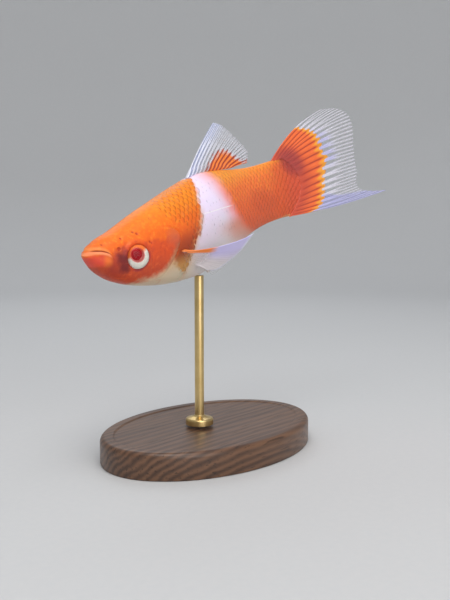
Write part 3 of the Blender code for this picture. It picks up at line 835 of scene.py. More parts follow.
def mouth_color(p, pit, color):
    """The lips, a dark line of painted shade in the slit between them, and painted shade in the pores."""
    s = p.s
    above = p.z - s.along(MOUTH_LINE, 0.02, 0.06)
    at_lips = s.rise(0.048, 0.038)
    return layered(
        color,
        (at_lips * above.rise(-0.013, -0.007) * above.rise(0.0, -0.003) * 0.75, (0.96, 0.34, 0.16)),
        (at_lips * above.rise(0.015, 0.004) * above.rise(-0.002, 0.002) * 0.6, (0.97, 0.34, 0.10)),
        # Painted shade in the slit of the mouth.
        (at_lips * abs(above).rise(0.0028, 0.0008) * s.rise(-0.004, 0.010) * 0.8, (0.25, 0.03, 0.015)),
        # Painted shade in the nostril and the pores.
        (pit.rise(0.15, 0.8) * 0.75, (0.42, 0.035, 0.02)))


print("the head's colours are ready")

# %% The bronze patch and the saddle
def bronze_color(p, color):
    """The cream belly and the torn bronze patch behind the gill cover. Also gives the patch's share."""
    s, z, patch = p.s, p.z, p.patch
    past_rear = s - z.along(BRONZE_REAR, 0.28, 0.41)
    past_front = s - z.along(BRONZE_FRONT, 0.22, 0.36)
    torn = p.ragged * 0.050 + (patch - 0.5) * 0.030 - 0.003
    bronze = (p.behind_gill * (past_rear + torn).rise(0.010, -0.010)
              * (past_front + torn * 0.6).rise(-0.011, 0.011) * z.rise(-0.122, -0.104)
              * (1 - patch.rise(0.50, 0.36) * z.rise(-0.068, -0.095) * 0.7))
    brown = z.rise(-0.060, 0.01).over((0.30, 0.055, 0.020), (0.46, 0.075, 0.022))
    return bronze, layered(
        color,
        (p.behind_gill * (s - 0.37).rise(0.01, -0.01) * past_rear.rise(-0.020, 0.0), p.cream),
        ((1 - p.head) * z.rise(-0.030, -0.058) * (s - 0.36).rise(0.01, -0.01), p.cream),
        (bronze, z.rise(-0.03, -0.08).over(brown, (0.54, 0.26, 0.075))))


def saddle_color(p, bronze, color):
    """The pearly saddle with its pink rear and brown front. Also gives the saddle's share."""
    s, z = p.s, p.z
    shift = p.l.rise(0.004, -0.004) * (p.broad * 0.12 + 0.012)
    rear_line = z.along(SADDLE_REAR, 0.5, 0.9)
    past_front = s - z.along(SADDLE_FRONT, 0.25, 0.47) + p.ragged * 0.022 + shift
    past_rear = s - rear_line + p.ragged * 0.03 + shift
    near_rear = s - rear_line + p.broad * 0.06
    white = (past_front.rise(-0.007, 0.009) * past_rear.rise(0.040, -0.036) * (1 - p.head)
             * (1 - bronze * z.rise(0.02, -0.03)))
    pearl = layered(
        # The pearl's greyer lower part is partly painted shade.
        p.height.ramp(PEARL),
        (near_rear.rise(-0.080, 0.020) * 0.85 * z.rise(-0.09, 0.0), (0.95, 0.38, 0.40)),
        (near_rear.rise(-0.190, -0.010) * z.rise(0.010, -0.040) * 0.85, (0.66, 0.24, 0.15)),
        (s.rise(0.38, 0.31) * z.rise(-0.05, -0.09) * 0.7, p.cream),
        (past_front.rise(0.030, 0.002) * z.rise(0.10, 0.02) * 0.75, (0.70, 0.46, 0.31)))
    fringe = past_front.rise(-0.026, -0.003) * p.patch.rise(0.40, 0.56) * (1 - p.head)
    fringe = fringe * z.rise(-0.045, -0.015) * past_front.rise(0.030, 0.020) * 0.70
    return white, layered(color, (fringe, (0.82, 0.36, 0.13)), (white, pearl))


def body_color(wire):
    """The colour of the body and how pale it is at each place, with the place's s and z."""
    p = Place(wire)
    throat, color = head_color(p, flank_color(p))
    color = mouth_color(p, number(wire, "pit"), color)
    bronze, color = bronze_color(p, color)
    white, color = saddle_color(p, bronze, color)
    s, _, z = split(attribute(wire, "spot"))
    # A painted highlight: a thin near-white line along the septum's low ridge, on the saddle only.
    line = abs(z - s.along(SEPTUM, 0.02, 0.06)).rise(0.0022, 0.0008)
    line = line * s.rise(0.40, 0.43) * s.rise(0.60, 0.56) * 0.75
    belly = p.behind_gill * (1 - bronze) * (p.s - 0.37).rise(0.01, -0.01)
    return line.over(color, (1.0, 0.95, 1.0)), (white + throat + belly).rise(0.0, 0.9), p.s, p.z


print("the body's colours are ready")

# %% [markdown]
# ### The skin's material
#
# Wet skin shines softly and lets a little light in. The scales' rims are a little darker,
# each scale has its own tint, and fine noise keeps any stretch from being flat. These could
# be painted on a picture, but sums stay sharp from any distance.

# %% The skin's material
def skin_look(wire):
    """Wet skin: the markings, darker rims on the scales, and a clear coat."""
    color, pale, s, z = body_color(wire)
    rim, tint = number(wire, "rim"), number(wire, "tint")
    fine = noise(wire, 5200.0, 3.0)
    dark = pale.over((0.58, 0.066, 0.014), (0.60, 0.50, 0.62))
    net = 0.07 + z.rise(0.03, 0.10) * 0.10 + s.rise(0.48, 0.40) * 0.10
    shade = rim * net * (1 - pale * 0.85) + (0.5 - tint) * 0.07 + (0.5 - fine) * 0.16
    light = (tint - 0.5).rise(0.0, 0.5) * 0.08 * (1 - rim)
    color = layered(color, ((shade * 1.6).rise(0.0, 1.0), dark), (light, (1.0, 0.62, 0.40)))
    return {"Base Color": color, "Roughness": fine * 0.16 + 0.36 - pale * 0.06,
            "Coat Weight": 0.05 + pale * 0.10, "Normal": noise(wire, 3200.0, 3.0).bumps(0.25, 0.00004)}


SKIN = new_material("wet_skin", skin_look, Subsurface_Weight=0.10, Subsurface_Scale=0.0005,
                    Coat_Roughness=0.18, Specular_IOR_Level=0.16)
skin.data.materials.append(SKIN)
print("the skin has its colours")

# %% [markdown]
# ## Scales
#
# The scales lie in rows along the body, each half a scale behind the rows beside it, and
# each one covers the roots of those behind. One scale is a small grid with a rounded rear
# edge, thickened into a closed plate. It is copied to every place, and its corners are
# bent onto the body by their distances along it and round it, so it hugs the curve. The
# root is sunk into the skin and the free edge is lifted. No array modifier bends copies
# round a body that narrows, so a loop over rows is the simpler way.

# %% Distances round the body
SCALE_PITCH = 0.0195
ROW_PITCH = 0.0150
SCALE_LONG = 1.75
SCALE_WIDE = 1.12
SCALES_END = 0.982
SCALE_THICKNESS = 0.028
ROOT_DEPTH = 0.14
EDGE_DEPTH = 0.035
LEAST_DEPTH = 0.004
SIDES_DEPTH = 0.030
FADE_DEPTH = 0.058
SADDLE_LIFT, REAR_LIFT, NAPE_LIFT = 0.08, 0.55, 0.72
UNDER_DORSAL = (0.44, 0.72)
UNDER_CAUDAL = 0.89
PATCH = 0.003
SCALES_FROM = table(-150, 215, -100, 205, -92, 196, -60, 231, -30, 260, -5, 281, 20, 287, 38, 274,
                    49, 254, 58, 222, 75, 185, 100, 172)
RINGS = np.linspace(0.12, 1.0, 177)
ANGLES = np.linspace(-0.72 * math.pi, 0.72 * math.pi, 289)


def arc_table():
    """Distance round the section from the side's middle to each angle, at each ring."""
    across = np.stack([trunk(s, ANGLES)[:, 1:] for s in RINGS])
    steps = np.linalg.norm(np.diff(across, axis=1), axis=2)
    total = np.concatenate((np.zeros((len(RINGS), 1)), np.cumsum(steps, axis=1)), axis=1)
    return total - total[:, [len(ANGLES) // 2]]


ARCS = arc_table()


def arcs_at(s):
    """The row of distances at each of some stations."""
    place = np.clip((s - RINGS[0]) / (RINGS[1] - RINGS[0]), 0, len(RINGS) - 1.001)
    low = place.astype(int)
    share = (place - low)[:, None]
    return ARCS[low] * (1 - share) + ARCS[low + 1] * share


def angle_at(s, distance):
    """The angle round the section at a distance from the side's middle."""
    rows = arcs_at(s)
    i = np.clip((rows < distance[:, None]).sum(axis=1), 1, len(ANGLES) - 1)
    pick = np.arange(len(s))
    low, high = rows[pick, i - 1], rows[pick, i]
    return ANGLES[i - 1] + (ANGLES[i] - ANGLES[i - 1]) * np.clip((distance - low) / (high - low), 0, 1)


def half_round(s):
    """Distance from the side's middle up to the back, and down to the belly."""
    rows = arcs_at(s)
    return [np.array([sign * np.interp(sign * math.pi / 2, ANGLES, row) for row in rows]) for sign in (1, -1)]


print("distances round the body are known at", len(RINGS), "rings")

# %% [markdown]
# ### Where each scale sits
#
# Rows of places are laid out by distance, not by angle, so that the scales keep their size
# while the body narrows. The rows stop short of the back and the belly, where one row in
# the middle closes the gap. Places on the head and under the fins of the back are left out.

# %% Where each scale sits
def scale_places():
    """The station and the distance round of each scale of one side, and of the rows between the sides."""
    columns = np.arange(0.15, SCALES_END, SCALE_PITCH)
    places = []
    for row in range(-30, 31):
        s = columns + (row % 2) * SCALE_PITCH / 2
        up, down = half_round(s)
        d = np.full(len(s), row * ROW_PITCH)
        kept = (d < up - ROW_PITCH * 0.30) & (d > -down + ROW_PITCH * 0.30)
        places += list(zip(s[kept], d[kept]))
    up, down = half_round(columns)
    return np.array(places), np.array(list(zip(columns, up)) + list(zip(columns, -down)))


def covered(s, d):
    """Whether a scale may sit there: behind the head, and ahead of the end of the flesh."""
    height = trunk(s, angle_at(s, d))[:, 2]
    root = s - SCALE_LONG * SCALE_PITCH / 2
    return (root > np.interp(height, *SCALES_FROM.T)) & (s < SCALES_END)


side_places, between_places = (places[covered(*places.T)] for places in scale_places())
s, d = between_places.T
under_fin = ((s > UNDER_DORSAL[0]) & (s < UNDER_DORSAL[1])) | (s > UNDER_CAUDAL)
between_places = between_places[~(under_fin & (d > 0))]
print(2 * len(side_places) + len(between_places), "scales")

# %% [markdown]
# ### The scales' plates
#
# Real scales differ a little in size, turn and tint, and so do these, by a random draw with
# a fixed start. Where they show less, most of all on the saddle and near the tail fin, they
# are sunk deeper and their rims fade.

# %% The scales
def scale_template():
    """One scale, flat, 1 long from root to free edge and 1 wide."""
    bm = bmesh.new()
    bmesh.ops.create_grid(bm, x_segments=4, y_segments=4, size=0.5)
    bmesh.ops.extrude_face_region(bm, geom=bm.faces)
    half = len(bm.verts) // 2
    for i, vert in enumerate(bm.verts):
        along, across = vert.co.x, vert.co.y
        width = 0.80 + 0.20 * math.cos(math.pi * (along - 0.05))
        end = along - 0.30 * max(along, 0) * (2 * across) ** 2 * 2
        vert.co = (end, across * width, 1 if i >= half else 0)
    return mesh_of("scale", bm)


def clearness(s, height, front):
    """How clearly a scale stands out: less on the saddle and near the head and the tail fin."""
    front_line, rear_line = (np.interp(height, *line.T) for line in (SADDLE_FRONT, SADDLE_REAR))
    saddle = (s > front_line) & (s < rear_line)
    flank_share = np.where(saddle, SADDLE_LIFT, np.where(s > 0.5, REAR_LIFT, NAPE_LIFT))
    return ease(front / 0.06) * ease((0.985 - s) / 0.14) * flank_share


def make_scales(name, s0, d0, side, seed):
    """One piece of the scales at these places, each varied a little and bent onto the body."""
    template = scale_template()
    corners = np.array([vert.co for vert in template.vertices])
    bm = bmesh.new()
    for _ in s0:
        bm.from_mesh(template)
    draw = np.random.default_rng(seed)
    count = len(s0)
    long = SCALE_LONG * SCALE_PITCH * draw.normal(1, 0.03, count)
    wide = SCALE_WIDE * 2 * ROW_PITCH * draw.normal(0.92, 0.03, count)
    turn = draw.normal(0, 0.05, count)
    lift = draw.normal(0, 0.006, count)
    tint = np.clip(draw.normal(0.5, 0.22, count), 0, 1)
    angle0 = angle_at(s0, d0)
    height = trunk(s0, angle0)[:, 2]
    fade = clearness(s0, height, s0 - long / 2 - np.interp(height, *SCALES_FROM.T))
    owner = np.repeat(np.arange(count), len(corners))
    a, b, top = (np.tile(corners[:, i], count) for i in range(3))
    s = s0[owner] + (a * np.cos(turn[owner]) - b * np.sin(turn[owner])) * long[owner]
    d = d0[owner] + (b * np.cos(turn[owner]) + a * np.sin(turn[owner])) * wide[owner]
    depth = ROOT_DEPTH + (EDGE_DEPTH - ROOT_DEPTH) * np.clip(a + 0.5, 0, 1) ** 0.9 + lift[owner] * (a > 0)
    depth = (np.maximum(depth, LEAST_DEPTH) + SIDES_DEPTH * (2 * b) ** 2 + SCALE_THICKNESS * (1 - top)
             + FADE_DEPTH * (1 - fade[owner]))
    mirror = np.array((1, side, 1))
    places = trunk(s, angle_at(s, d), -depth * MM, tail_taper(s))
    centers = trunk(s0, angle0, 0, tail_taper(s0))[owner]
    rear = np.clip((a - 0.02) / 0.34, 0, 1)
    rim = np.clip(rear ** 2 + np.clip(a + 0.2, 0, 0.4) / 0.4 * (2 * np.abs(b)) ** 3, 0, 1) * fade[owner]
    move_verts(bm, world_of(places * mirror))
    around = (angle0 if side > 0 else math.pi - angle0) / math.tau % 1
    patch_map(bm, len(template.polygons), ring_share(s0 - long / 2), around)
    piece = finish(name, bm, (), "skin", fish=(places + centers) / 2 * mirror, spot=places * mirror,
                   rim=rim, tint=0.5 + ((tint - 0.5) * fade)[owner])
    piece.data.materials.append(SKIN)


def ring_share(s):
    """How far along the skin's rings a station lies."""
    rings = skin_rings()[0]
    body = rings[:-END_RINGS]
    return np.interp(s, body, (np.arange(len(body)) + 1) / (len(rings) + 1))


def patch_map(bm, faces_each, along, around):
    """Gives every scale a small patch at its root's place on the skin's map."""
    uv = bm.loops.layers.uv.new("OFBake")
    for i, face in enumerate(bm.faces):
        u, v = on_map(along[i // faces_each], around[i // faces_each])
        for loop, (du, dv) in zip(face.loops, ((0, 0), (PATCH, 0), (PATCH, PATCH), (0, PATCH))):
            loop[uv].uv = (u + du, v + dv)


make_scales("scales_left", *side_places.T, 1, 3)
make_scales("scales_right", *side_places.T, -1, 4)
make_scales("scales_between", *between_places.T, 1, 5)

# %% [markdown]
# ## Fins
#
# A fin is a film of skin held open by bony rays, and each ray forks once or twice on its
# way out. The root line and the tips below are the ones that the solids were made from, so
# each fin fills its solid. It starts as a grid, whose columns run along the rays. The grid
# is extruded into a closed sheet, then every corner is set at its ray and its distance
# out, and pushed to its side by the thickness there. The same sums on the ray's number
# give the thickness here and the colour and see-through parts in the material.

# %% Fin plans
FIN_ROOT_DEPTH = 0.0007
FILM_HALF = 0.050
RAY_HALF = 0.105
FLESH_HALF = 0.30
NOTCH = 0.35
RAY_STEP = 0.004
FORKS = ((0.34, 0.80, 0.235), (0.66, 1.00, 0.105))
CAUDAL_FORKS = ((0.42, 0.85, 0.25),)
CAUDAL_RAYS = 19
THIN = 0.0003 / LENGTH
DORSAL_ROOT = (0.456, 0.700)
DORSAL_TIPS = table(0, 632, 0, 287, 180, 668, 0, 276, 360, 700, 0, 256, 540, 732, 0, 230,
                    700, 762, 0, 202, 850, 793, 0, 165, 1000, 785, 0, 127, each=4)
CAUDAL_TOP = 0.905
CAUDAL_TOP_SHARE = 0.17
CAUDAL_CLEARANCE = 0.1
CAUDAL_TIPS = table(0, 1150, 0, 243, 100, 1215, 0, 236, 200, 1258, 0, 212, 300, 1275, 0, 170,
                    420, 1274, 0, 110, 550, 1271, 0, 50, 680, 1273, 0, -8, 780, 1268, 0, -48,
                    860, 1282, 0, -72, 930, 1325, 0, -87, 1000, 1389, 0, -97, each=4)
PECTORAL_ROOT = ((0.291, -0.028), (0.299, -0.068))
PECTORAL_TIPS = table(0, 465, 209, -22, 250, 470, 150, -78, 500, 436, 118, -108, 750, 392, 100, -122,
                      1000, 350, 96, -110, each=4)
PELVIC_ROOT = ((0.418, -0.114), (0.436, -0.138))
PELVIC_TIPS = table(0, 520, 50, -134, 500, 512, 40, -146, 1000, 490, 30, -154, each=4)
GONOPODIUM_ROOT = (0.555, 0.577)
GONOPODIUM_TIPS = table(0, 722, 0, -126, 1000, 726, 0, -118, each=4)


def from_root(root, tips, bow, mirror=(1, 1, 1), fullness=1.0):
    """A fin's middle surface: places at shares u from first ray to last and v from root to tip."""
    share, *columns = tips.T

    def middle(u, v):
        start = root(u)
        end = np.stack([smooth(u, share, column) for column in columns], -1) * mirror
        sideways = np.stack([part + 0 * u for part in bow(u)], -1) * mirror
        v = v[..., None]
        return start + (end - start) * v + sideways * np.clip(4 * v * (1 - v), 0, None) ** fullness
    return middle


def ridge_root(ends, heights, lift):
    """A root line along the back or the belly."""
    def root(u):
        s = ends[0] + (ends[1] - ends[0]) * u
        return np.stack((s, 0 * s, smooth(s, STATIONS, heights) + lift), -1)
    return root


def caudal_root(u):
    """Along the back and then round the end of the flesh."""
    clear = THIN * CAUDAL_CLEARANCE
    s = CAUDAL_TOP + (1 - TAIL_ROUNDING - CAUDAL_TOP) * u / CAUDAL_TOP_SHARE
    along_back = np.stack((s, 0 * s, smooth(np.minimum(s, 1.0), STATIONS, BACK) + clear), -1)
    middle, half_height, _ = section(1.0)
    angle = math.pi / 2 - math.pi * np.clip((u - CAUDAL_TOP_SHARE) / (1 - CAUDAL_TOP_SHARE), 0, 1)
    up = np.sign(np.sin(angle)) * np.abs(np.sin(angle)) ** (2 / SECTION_POWER)
    round_end = np.stack((1 + TAIL_ROUNDING * (1 - 2 * up * up) + clear * np.cos(angle), 0 * u,
                          middle + up * half_height + clear * np.sin(angle)), -1)
    return np.where((u < CAUDAL_TOP_SHARE)[..., None], along_back, round_end)


def flank_root(ends, side):
    """A short root line on one flank."""
    (s, z), (s_end, z_end) = ends
    return lambda u: flank(s + (s_end - s) * u, z + (z_end - z) * u, side, THIN)


def fork_distance(q, v, forks):
    """How far a place lies from the nearest branch of a ray: 0 on it, 1 half way to the next."""
    d = np.abs(q - np.rint(q))
    half_gap = 0.5 + 0 * v
    for start, end, spread in forks:
        forked = ease((v - start) / (end - start))
        d = np.abs(d - spread * forked)
        half_gap = half_gap * (1 - 0.5 * forked)
    return d / half_gap


print("the fins are planned")

# %% [markdown]
# ### From plan to sheet
#
# A fin could be a flat plane with a picture on it, but then its rays would vanish from the
# side. Here each ray is a ridge on both faces, the film between two rays is about a tenth
# of a millimetre thick, and the free edge is notched between the branches.

# %% Making the fins
def make_fin(name, replaced, middle, rays, columns, rows, flesh=FLESH_HALF, ray=RAY_HALF, film=FILM_HALF,
             ruffle=0.0, forks=FORKS):
    """A closed sheet with forked rays, thin film between them, and a notched free edge."""
    bm = bmesh.new()
    bmesh.ops.create_grid(bm, x_segments=columns * (rays - 1), y_segments=rows, size=0.5)
    bmesh.ops.extrude_face_region(bm, geom=bm.faces)
    grid = np.array([vert.co for vert in bm.verts])
    side = np.where(np.arange(len(grid)) < len(grid) // 2, 1.0, -1.0)
    u, v = np.clip(grid[:, 0] + 0.5, 0, 1), np.clip(grid[:, 1] + 0.5, 0, 1)
    q = u * (rays - 1)
    d = fork_distance(q, v, forks)
    long = np.linalg.norm(middle(u, 1 + 0 * v) - middle(u, 0 * v), axis=1) * LENGTH
    start = -FIN_ROOT_DEPTH / long
    edge = 1 - NOTCH * MILLIMETRE / long * np.clip(d, 0, 1)
    out = start + (edge - start) * v
    after, before = np.minimum(u + RAY_STEP, 1), np.maximum(u - RAY_STEP, 0)
    ahead = world_of(middle(after, out)) - world_of(middle(before, out))
    outer = world_of(middle(u, out + RAY_STEP)) - world_of(middle(u, out - RAY_STEP))
    square = np.cross(ahead, outer)
    square /= np.linalg.norm(square, axis=1)[:, None]
    half = film + (flesh - film) * ease(1 - out / 0.16) + (ray - film) * bump(d, 0.45) * (1 - 0.45 * v)
    half *= 1 - 0.55 * ease((v - 0.93) / 0.07)
    border = np.minimum(q, rays - 1 - q)
    half *= 0.6 + 0.4 * ease(border / 0.12)
    sway = ruffle * np.sin(math.tau * q) * ease(v / 0.3) * ease(border)
    move_verts(bm, world_of(middle(u, out)) + square * ((side * half + sway) * MILLIMETRE)[:, None])
    return finish(f"fin_rays_{name}", bm, (replaced,), "fin", fish=middle(u, out),
                  fin=np.stack((q, v, side), -1))


def dorsal_bow(u):
    """How far the middle of each ray of the back fin is bowed, along s, l and z."""
    return -0.006 + 0.010 * u, 0, 0.004 - 0.003 * u


def caudal_bow(u):
    """The same for the tail fin."""
    return 0, 0, 0.018 * (1 - u) ** 2 - 0.014 * ease((u - 0.7) / 0.3)


dorsal = from_root(ridge_root(DORSAL_ROOT, BACK, THIN), DORSAL_TIPS, dorsal_bow)
caudal = from_root(caudal_root, CAUDAL_TIPS, caudal_bow)
anal = from_root(ridge_root(GONOPODIUM_ROOT, BELLY, -THIN), GONOPODIUM_TIPS, lambda u: (0, 0, -0.006))
fins = {"dorsal": make_fin("dorsal", "fin_dorsal", dorsal, 13, 16, 44, ruffle=0.05),
        "caudal": make_fin("caudal", "fin_caudal", caudal, CAUDAL_RAYS, 16, 52, flesh=0.10, ruffle=0.03,
                           forks=CAUDAL_FORKS)}
for side, word in ((1, "left"), (-1, "right")):
    mirror = np.array((1, side, 1))
    pectoral = from_root(flank_root(PECTORAL_ROOT, side), PECTORAL_TIPS,
                         lambda u: (0, 0.010, -0.015 * (1 - u) ** 1.5), mirror, 0.6)
    pelvic = from_root(flank_root(PELVIC_ROOT, side), PELVIC_TIPS, lambda u: (-0.022, 0.014, -0.006), mirror)
    for kind, middle, *plan in (("pectoral", pectoral, 9, 12, 40, 0.24, 0.055, 0.045),
                                ("pelvic", pelvic, 5, 12, 26, 0.20, 0.070, FILM_HALF, 0.01)):
        fins[f"{kind}_{word}"] = make_fin(f"{kind}_{word}", f"fin_{kind}_{word}", middle, *plan)
fins["gonopodium"] = make_fin("gonopodium", "gonopodium", anal, 3, 12, 40, film=0.16, ray=0.27)

# %% [markdown]
# ## The fins' colours
#
# Near the body the fins carry the body's red and orange, further out the film is clear and
# the rays are milky with a blue tinge. The lines below say where the colour ends. Clear film
# is made with alpha, so that what lies behind shows through, and a ray stays more solid.

# %% The fins' materials
CAUDAL_RED_END = table(-130, 1020, -112, 1041, -102, 1094, -79, 1120, -62, 1127, -26, 1133, 10, 1138,
                       45, 1146, 67, 1158, 96, 1144, 129, 1138, 152, 1131, 181, 1098, 199, 1051,
                       250, 990)
DORSAL_RED_TOP = table(500, 130, 547, 155, 587, 183, 620, 197, 648, 202, 679, 195, 701, 184, 721, 168,
                       742, 156, 757, 146, 772, 142, 800, 140)
SWORD_TOP = table(1000, -58, 1128, -58, 1192, -74, 1256, -78, 1315, -80, 1400, -88)


def ray_share(q, v, forks):
    """1 on a ray or one of its branches, 0 on the film between. The second is a wider band."""
    d = abs(q - q.sum("ROUND"))
    half_gap = v * 0 + 0.5
    for start, end, spread in forks:
        forked = v.rise(start, end)
        d = abs(d - forked * spread)
        half_gap = half_gap * (1 - forked * 0.5)
    d = d / half_gap
    return d.rise(0.62, 0.24), d.rise(0.98, 0.55)


def fin_material(name, paint, forks=FORKS):
    """Clear film and milky rays, coloured by paint, which gives the colour and how solid it is."""
    def look(wire):
        whole = attribute(wire, "fish")
        q, v, _ = split(attribute(wire, "fin"))
        s, _, z = split(whole)
        ray, band = ray_share(q, v, forks)
        mottle = noise(wire, 60.0, 3.0, whole)
        color, alpha = paint(q, v, s, z, ray, band, mottle - 0.5)
        joints = (v * 260.0).sum("SINE") * ray
        return {"Base Color": color, "Alpha": alpha, "Roughness": mottle * 0.15 + 0.30,
                "Normal": joints.bumps(0.08, 0.00003)}
    return new_material(name, look, Coat_Weight=0.25, Coat_Roughness=0.2, IOR=1.38)


def paint_caudal(q, v, s, z, ray, band, mottle):
    """Red flesh with painted shade between its rays and an orange edge, clear film beyond it, and the
    lavender sword below.
    """
    past = s - z.along(CAUDAL_RED_END, 0.95, 1.20) + mottle * 0.022 + ray * 0.014
    red = past.rise(0.004, -0.004)
    # Thin dark lines of painted shade between the red rays, fading in from the root.
    lines = (1 - band) * v.rise(0.0, 0.12)
    base = layered(v.rise(0.06, 0.34).over((0.66, 0.096, 0.048), (0.92, 0.17, 0.045)),
                   (lines * 0.85, (0.46, 0.045, 0.03)),
                   (past.rise(-0.034, -0.006) * red * 0.85, (0.98, 0.44, 0.04)))
    sword = (z - s.along(SWORD_TOP, -0.10, -0.05)).rise(0.006, -0.006)
    teeth = (past.rise(0.10, 0.0) * (1 - red)).rise(0.0, 1.0)
    violet = past.rise(0.080, 0.020) * z.rise(0.02, 0.07) * z.rise(0.20, 0.14)
    milk = layered((violet * 0.7).over((0.80, 0.78, 0.88), (0.50, 0.50, 0.90)), (sword, (0.50, 0.50, 0.78)))
    film = sword.over((0.50, 0.52, 0.58), (0.42, 0.43, 0.70))
    bottom = q.rise(CAUDAL_RAYS - 1.50, CAUDAL_RAYS - 1.25) * s.rise(1.13, 1.08)
    alpha = 0.04 + ray * 0.34 + teeth * ray * 0.30 + sword * 0.40
    return layered((ray + sword * 0.4).rise(0.0, 1.0).over(film, milk), (red, base),
                   (dusk_share(s, z) * red * 0.70, DUSK),
                   (bottom * 0.7, (0.90, 0.60, 0.32))), alpha + red * (1.0 - alpha)


def paint_dorsal(q, v, s, z, ray, band, mottle):
    """Red flames up from the back, with painted shade between their rays, and a bluish front edge."""
    top = s.along(DORSAL_RED_TOP, 0.10, 0.20)
    red = (z - top + mottle * 0.03 + ray * 0.012).rise(0.008, -0.010) * s.rise(0.50, 0.54)
    front = q.rise(5.0, 1.0)
    film = front.over((0.40, 0.42, 0.48), (0.34, 0.43, 0.78))
    clear = ray.over(film, front.over((0.80, 0.80, 0.88), (0.86, 0.88, 1.0)))
    # The dark between the red rays is painted shade.
    flame = (ray * 0.7 + band * 0.3).over((0.40, 0.035, 0.02), (0.94, 0.25, 0.05))
    alpha = 0.06 + ray * 0.44 + front * 0.30
    return red.over(clear, flame), alpha + red * (0.97 - alpha)


def paint_pectoral(q, v, s, z, ray, band, mottle):
    """An orange stalk along the first ray, and a lavender blade."""
    stalk = q.rise(1.7, 1.0)
    blade = q.rise(4.5, 1.0) * v.rise(0.28, 0.50)
    color = layered(blade.over((0.74, 0.68, 0.70), (0.66, 0.60, 0.96)),
                    (v.rise(0.90, 0.97) * 0.8, (0.82, 0.84, 1.0)),
                    (stalk * v.rise(0.50, 0.34), (0.96, 0.26, 0.06)))
    alpha = 0.03 + v.rise(0.15, 0.35) * 0.10 + ray * 0.05 + v.rise(0.25, 0.6) * 0.46 + blade * 0.24
    return color, (alpha + stalk * 0.70).rise(-0.05, 1.0)


def paint_pelvic(q, v, s, z, ray, band, mottle):
    """Almost clear, and milky near the root."""
    near = v.rise(0.3, 0.0)
    return near.over((0.80, 0.76, 0.78), (0.82, 0.66, 0.58)), (0.10 + ray * 0.14 + near * 0.4).rise(0.0, 1.0)


def paint_gonopodium(q, v, s, z, ray, band, mottle):
    """Solid orange flesh, redder towards the tip."""
    color = v.rise(0.2, 0.9).over((0.80, 0.26, 0.10), (0.62, 0.14, 0.06))
    return ray.over(color, (0.90, 0.50, 0.26)), v * 0 + 1.0


films = {"caudal": fin_material("caudal_film", paint_caudal, CAUDAL_FORKS),
         "dorsal": fin_material("dorsal_film", paint_dorsal),
         "pectoral": fin_material("pectoral_film", paint_pectoral),
         "pelvic": fin_material("pelvic_film", paint_pelvic),
         "gonopodium": fin_material("gonopodium_flesh", paint_gonopodium)}
for name, fin in fins.items():
    fin.data.materials.append(films[name.split("_")[0]])
print(len(fins), "fins have their colours")

# %% [markdown]
# ## Eyes
#
# The eye of a pale swordtail shows a milky ring round a crimson pupil, under a clear dome.
# Three pieces make it: a ball whose front is pushed in where the pupil is, a round lens in
# that pit, and a clear shell over both that catches the light. All three are made from
# spheres with a pole in front, so that rings run round the pupil.

# %% Eye shapes
PUPIL_SHIFT = (0.0075, 0.0070)
PUPIL_RADIUS = 0.0172
PIT_DEPTH = 0.0085
PIT_RIM = 0.0008
BALL_SHARE, LENS_SHARE, DOME_SHARE = 0.985, 0.5, 1.0
LENS_FLATNESS = 0.55
LENS_OUT = 0.53
DOME_BACK = -0.002


def eye_axes(side):
    """A matrix from the eye's own axes, x ahead, y up and z out, to the world."""
    middle, look = eye_frame(side)
    up = (Vector((0, 0, 1)) - look * look.z).normalized()
    ahead = up.cross(look) * side
    s, z = EYE_AT
    nose = Vector(world_of(flank(s - 0.02, z, side)) - world_of(flank(s + 0.02, z, side)))
    if ahead.dot(nose) < 0:
        ahead.negate()
    return Matrix.Translation(middle) @ Matrix((ahead, up, look)).transposed().to_4x4()


def eye_piece(name, side, share, shape, replaced=()):
    """A ball in the eye's own axes, its corners moved by shape, in shares of the length."""
    bm = bmesh.new()
    bmesh.ops.create_uvsphere(bm, u_segments=72, v_segments=40, radius=1)
    ball = np.array([vert.co for vert in bm.verts])
    ball = shape(ball * (EYE_RADIUS * share, EYE_RADIUS * share, EYE_BULGE * share))
    axes = np.array(eye_axes(side))
    move_verts(bm, ball * LENGTH @ axes[:3, :3].T + axes[:3, 3])
    return finish(name, bm, replaced, "eye", eye=ball / EYE_RADIUS)


def ball_shape(ball):
    """The ball with a rounded step down to the pit behind the pupil."""
    far = np.hypot(ball[:, 0] - PUPIL_SHIFT[0], ball[:, 1] - PUPIL_SHIFT[1])
    front = ball[:, 2] > 0
    ball[:, 2] -= front * PIT_DEPTH * ease((PUPIL_RADIUS * 1.06 - far) / (PUPIL_RADIUS * 0.30))
    ball[:, 2] += front * PIT_RIM * bump(far - PUPIL_RADIUS * 1.16, PUPIL_RADIUS * 0.12)
    return ball


def lens_shape(ball):
    """A flattened lens that stands in the pit."""
    size = PUPIL_RADIUS / (EYE_RADIUS * LENS_SHARE)
    return ball * (size, size, LENS_FLATNESS) + (*PUPIL_SHIFT, EYE_BULGE * LENS_OUT)


def shell_shape(ball):
    """The clear dome, cut off flat behind."""
    ball[:, 2] = np.maximum(ball[:, 2], DOME_BACK)
    return ball


eyes = {}
for side, word in ((1, "left"), (-1, "right")):
    eyes[f"iris {word}"] = eye_piece(f"eyeball_{word}", side, BALL_SHARE, ball_shape, (f"eye_{word}",))
    eyes[f"pupil {word}"] = eye_piece(f"pupil_{word}", side, LENS_SHARE, lens_shape)
    eyes[f"dome {word}"] = eye_piece(f"eye_dome_{word}", side, DOME_SHARE, shell_shape)

# %% [markdown]
# ### The eyes' finishes
#
# The ring is cream with fine streaks and turns orange towards the top. The pupil is a deep
# red that lightens towards its edge. The dome could be glass, but light bent by glass this
# small is slow and speckled, so it is clear straight on and glossy at a slant.

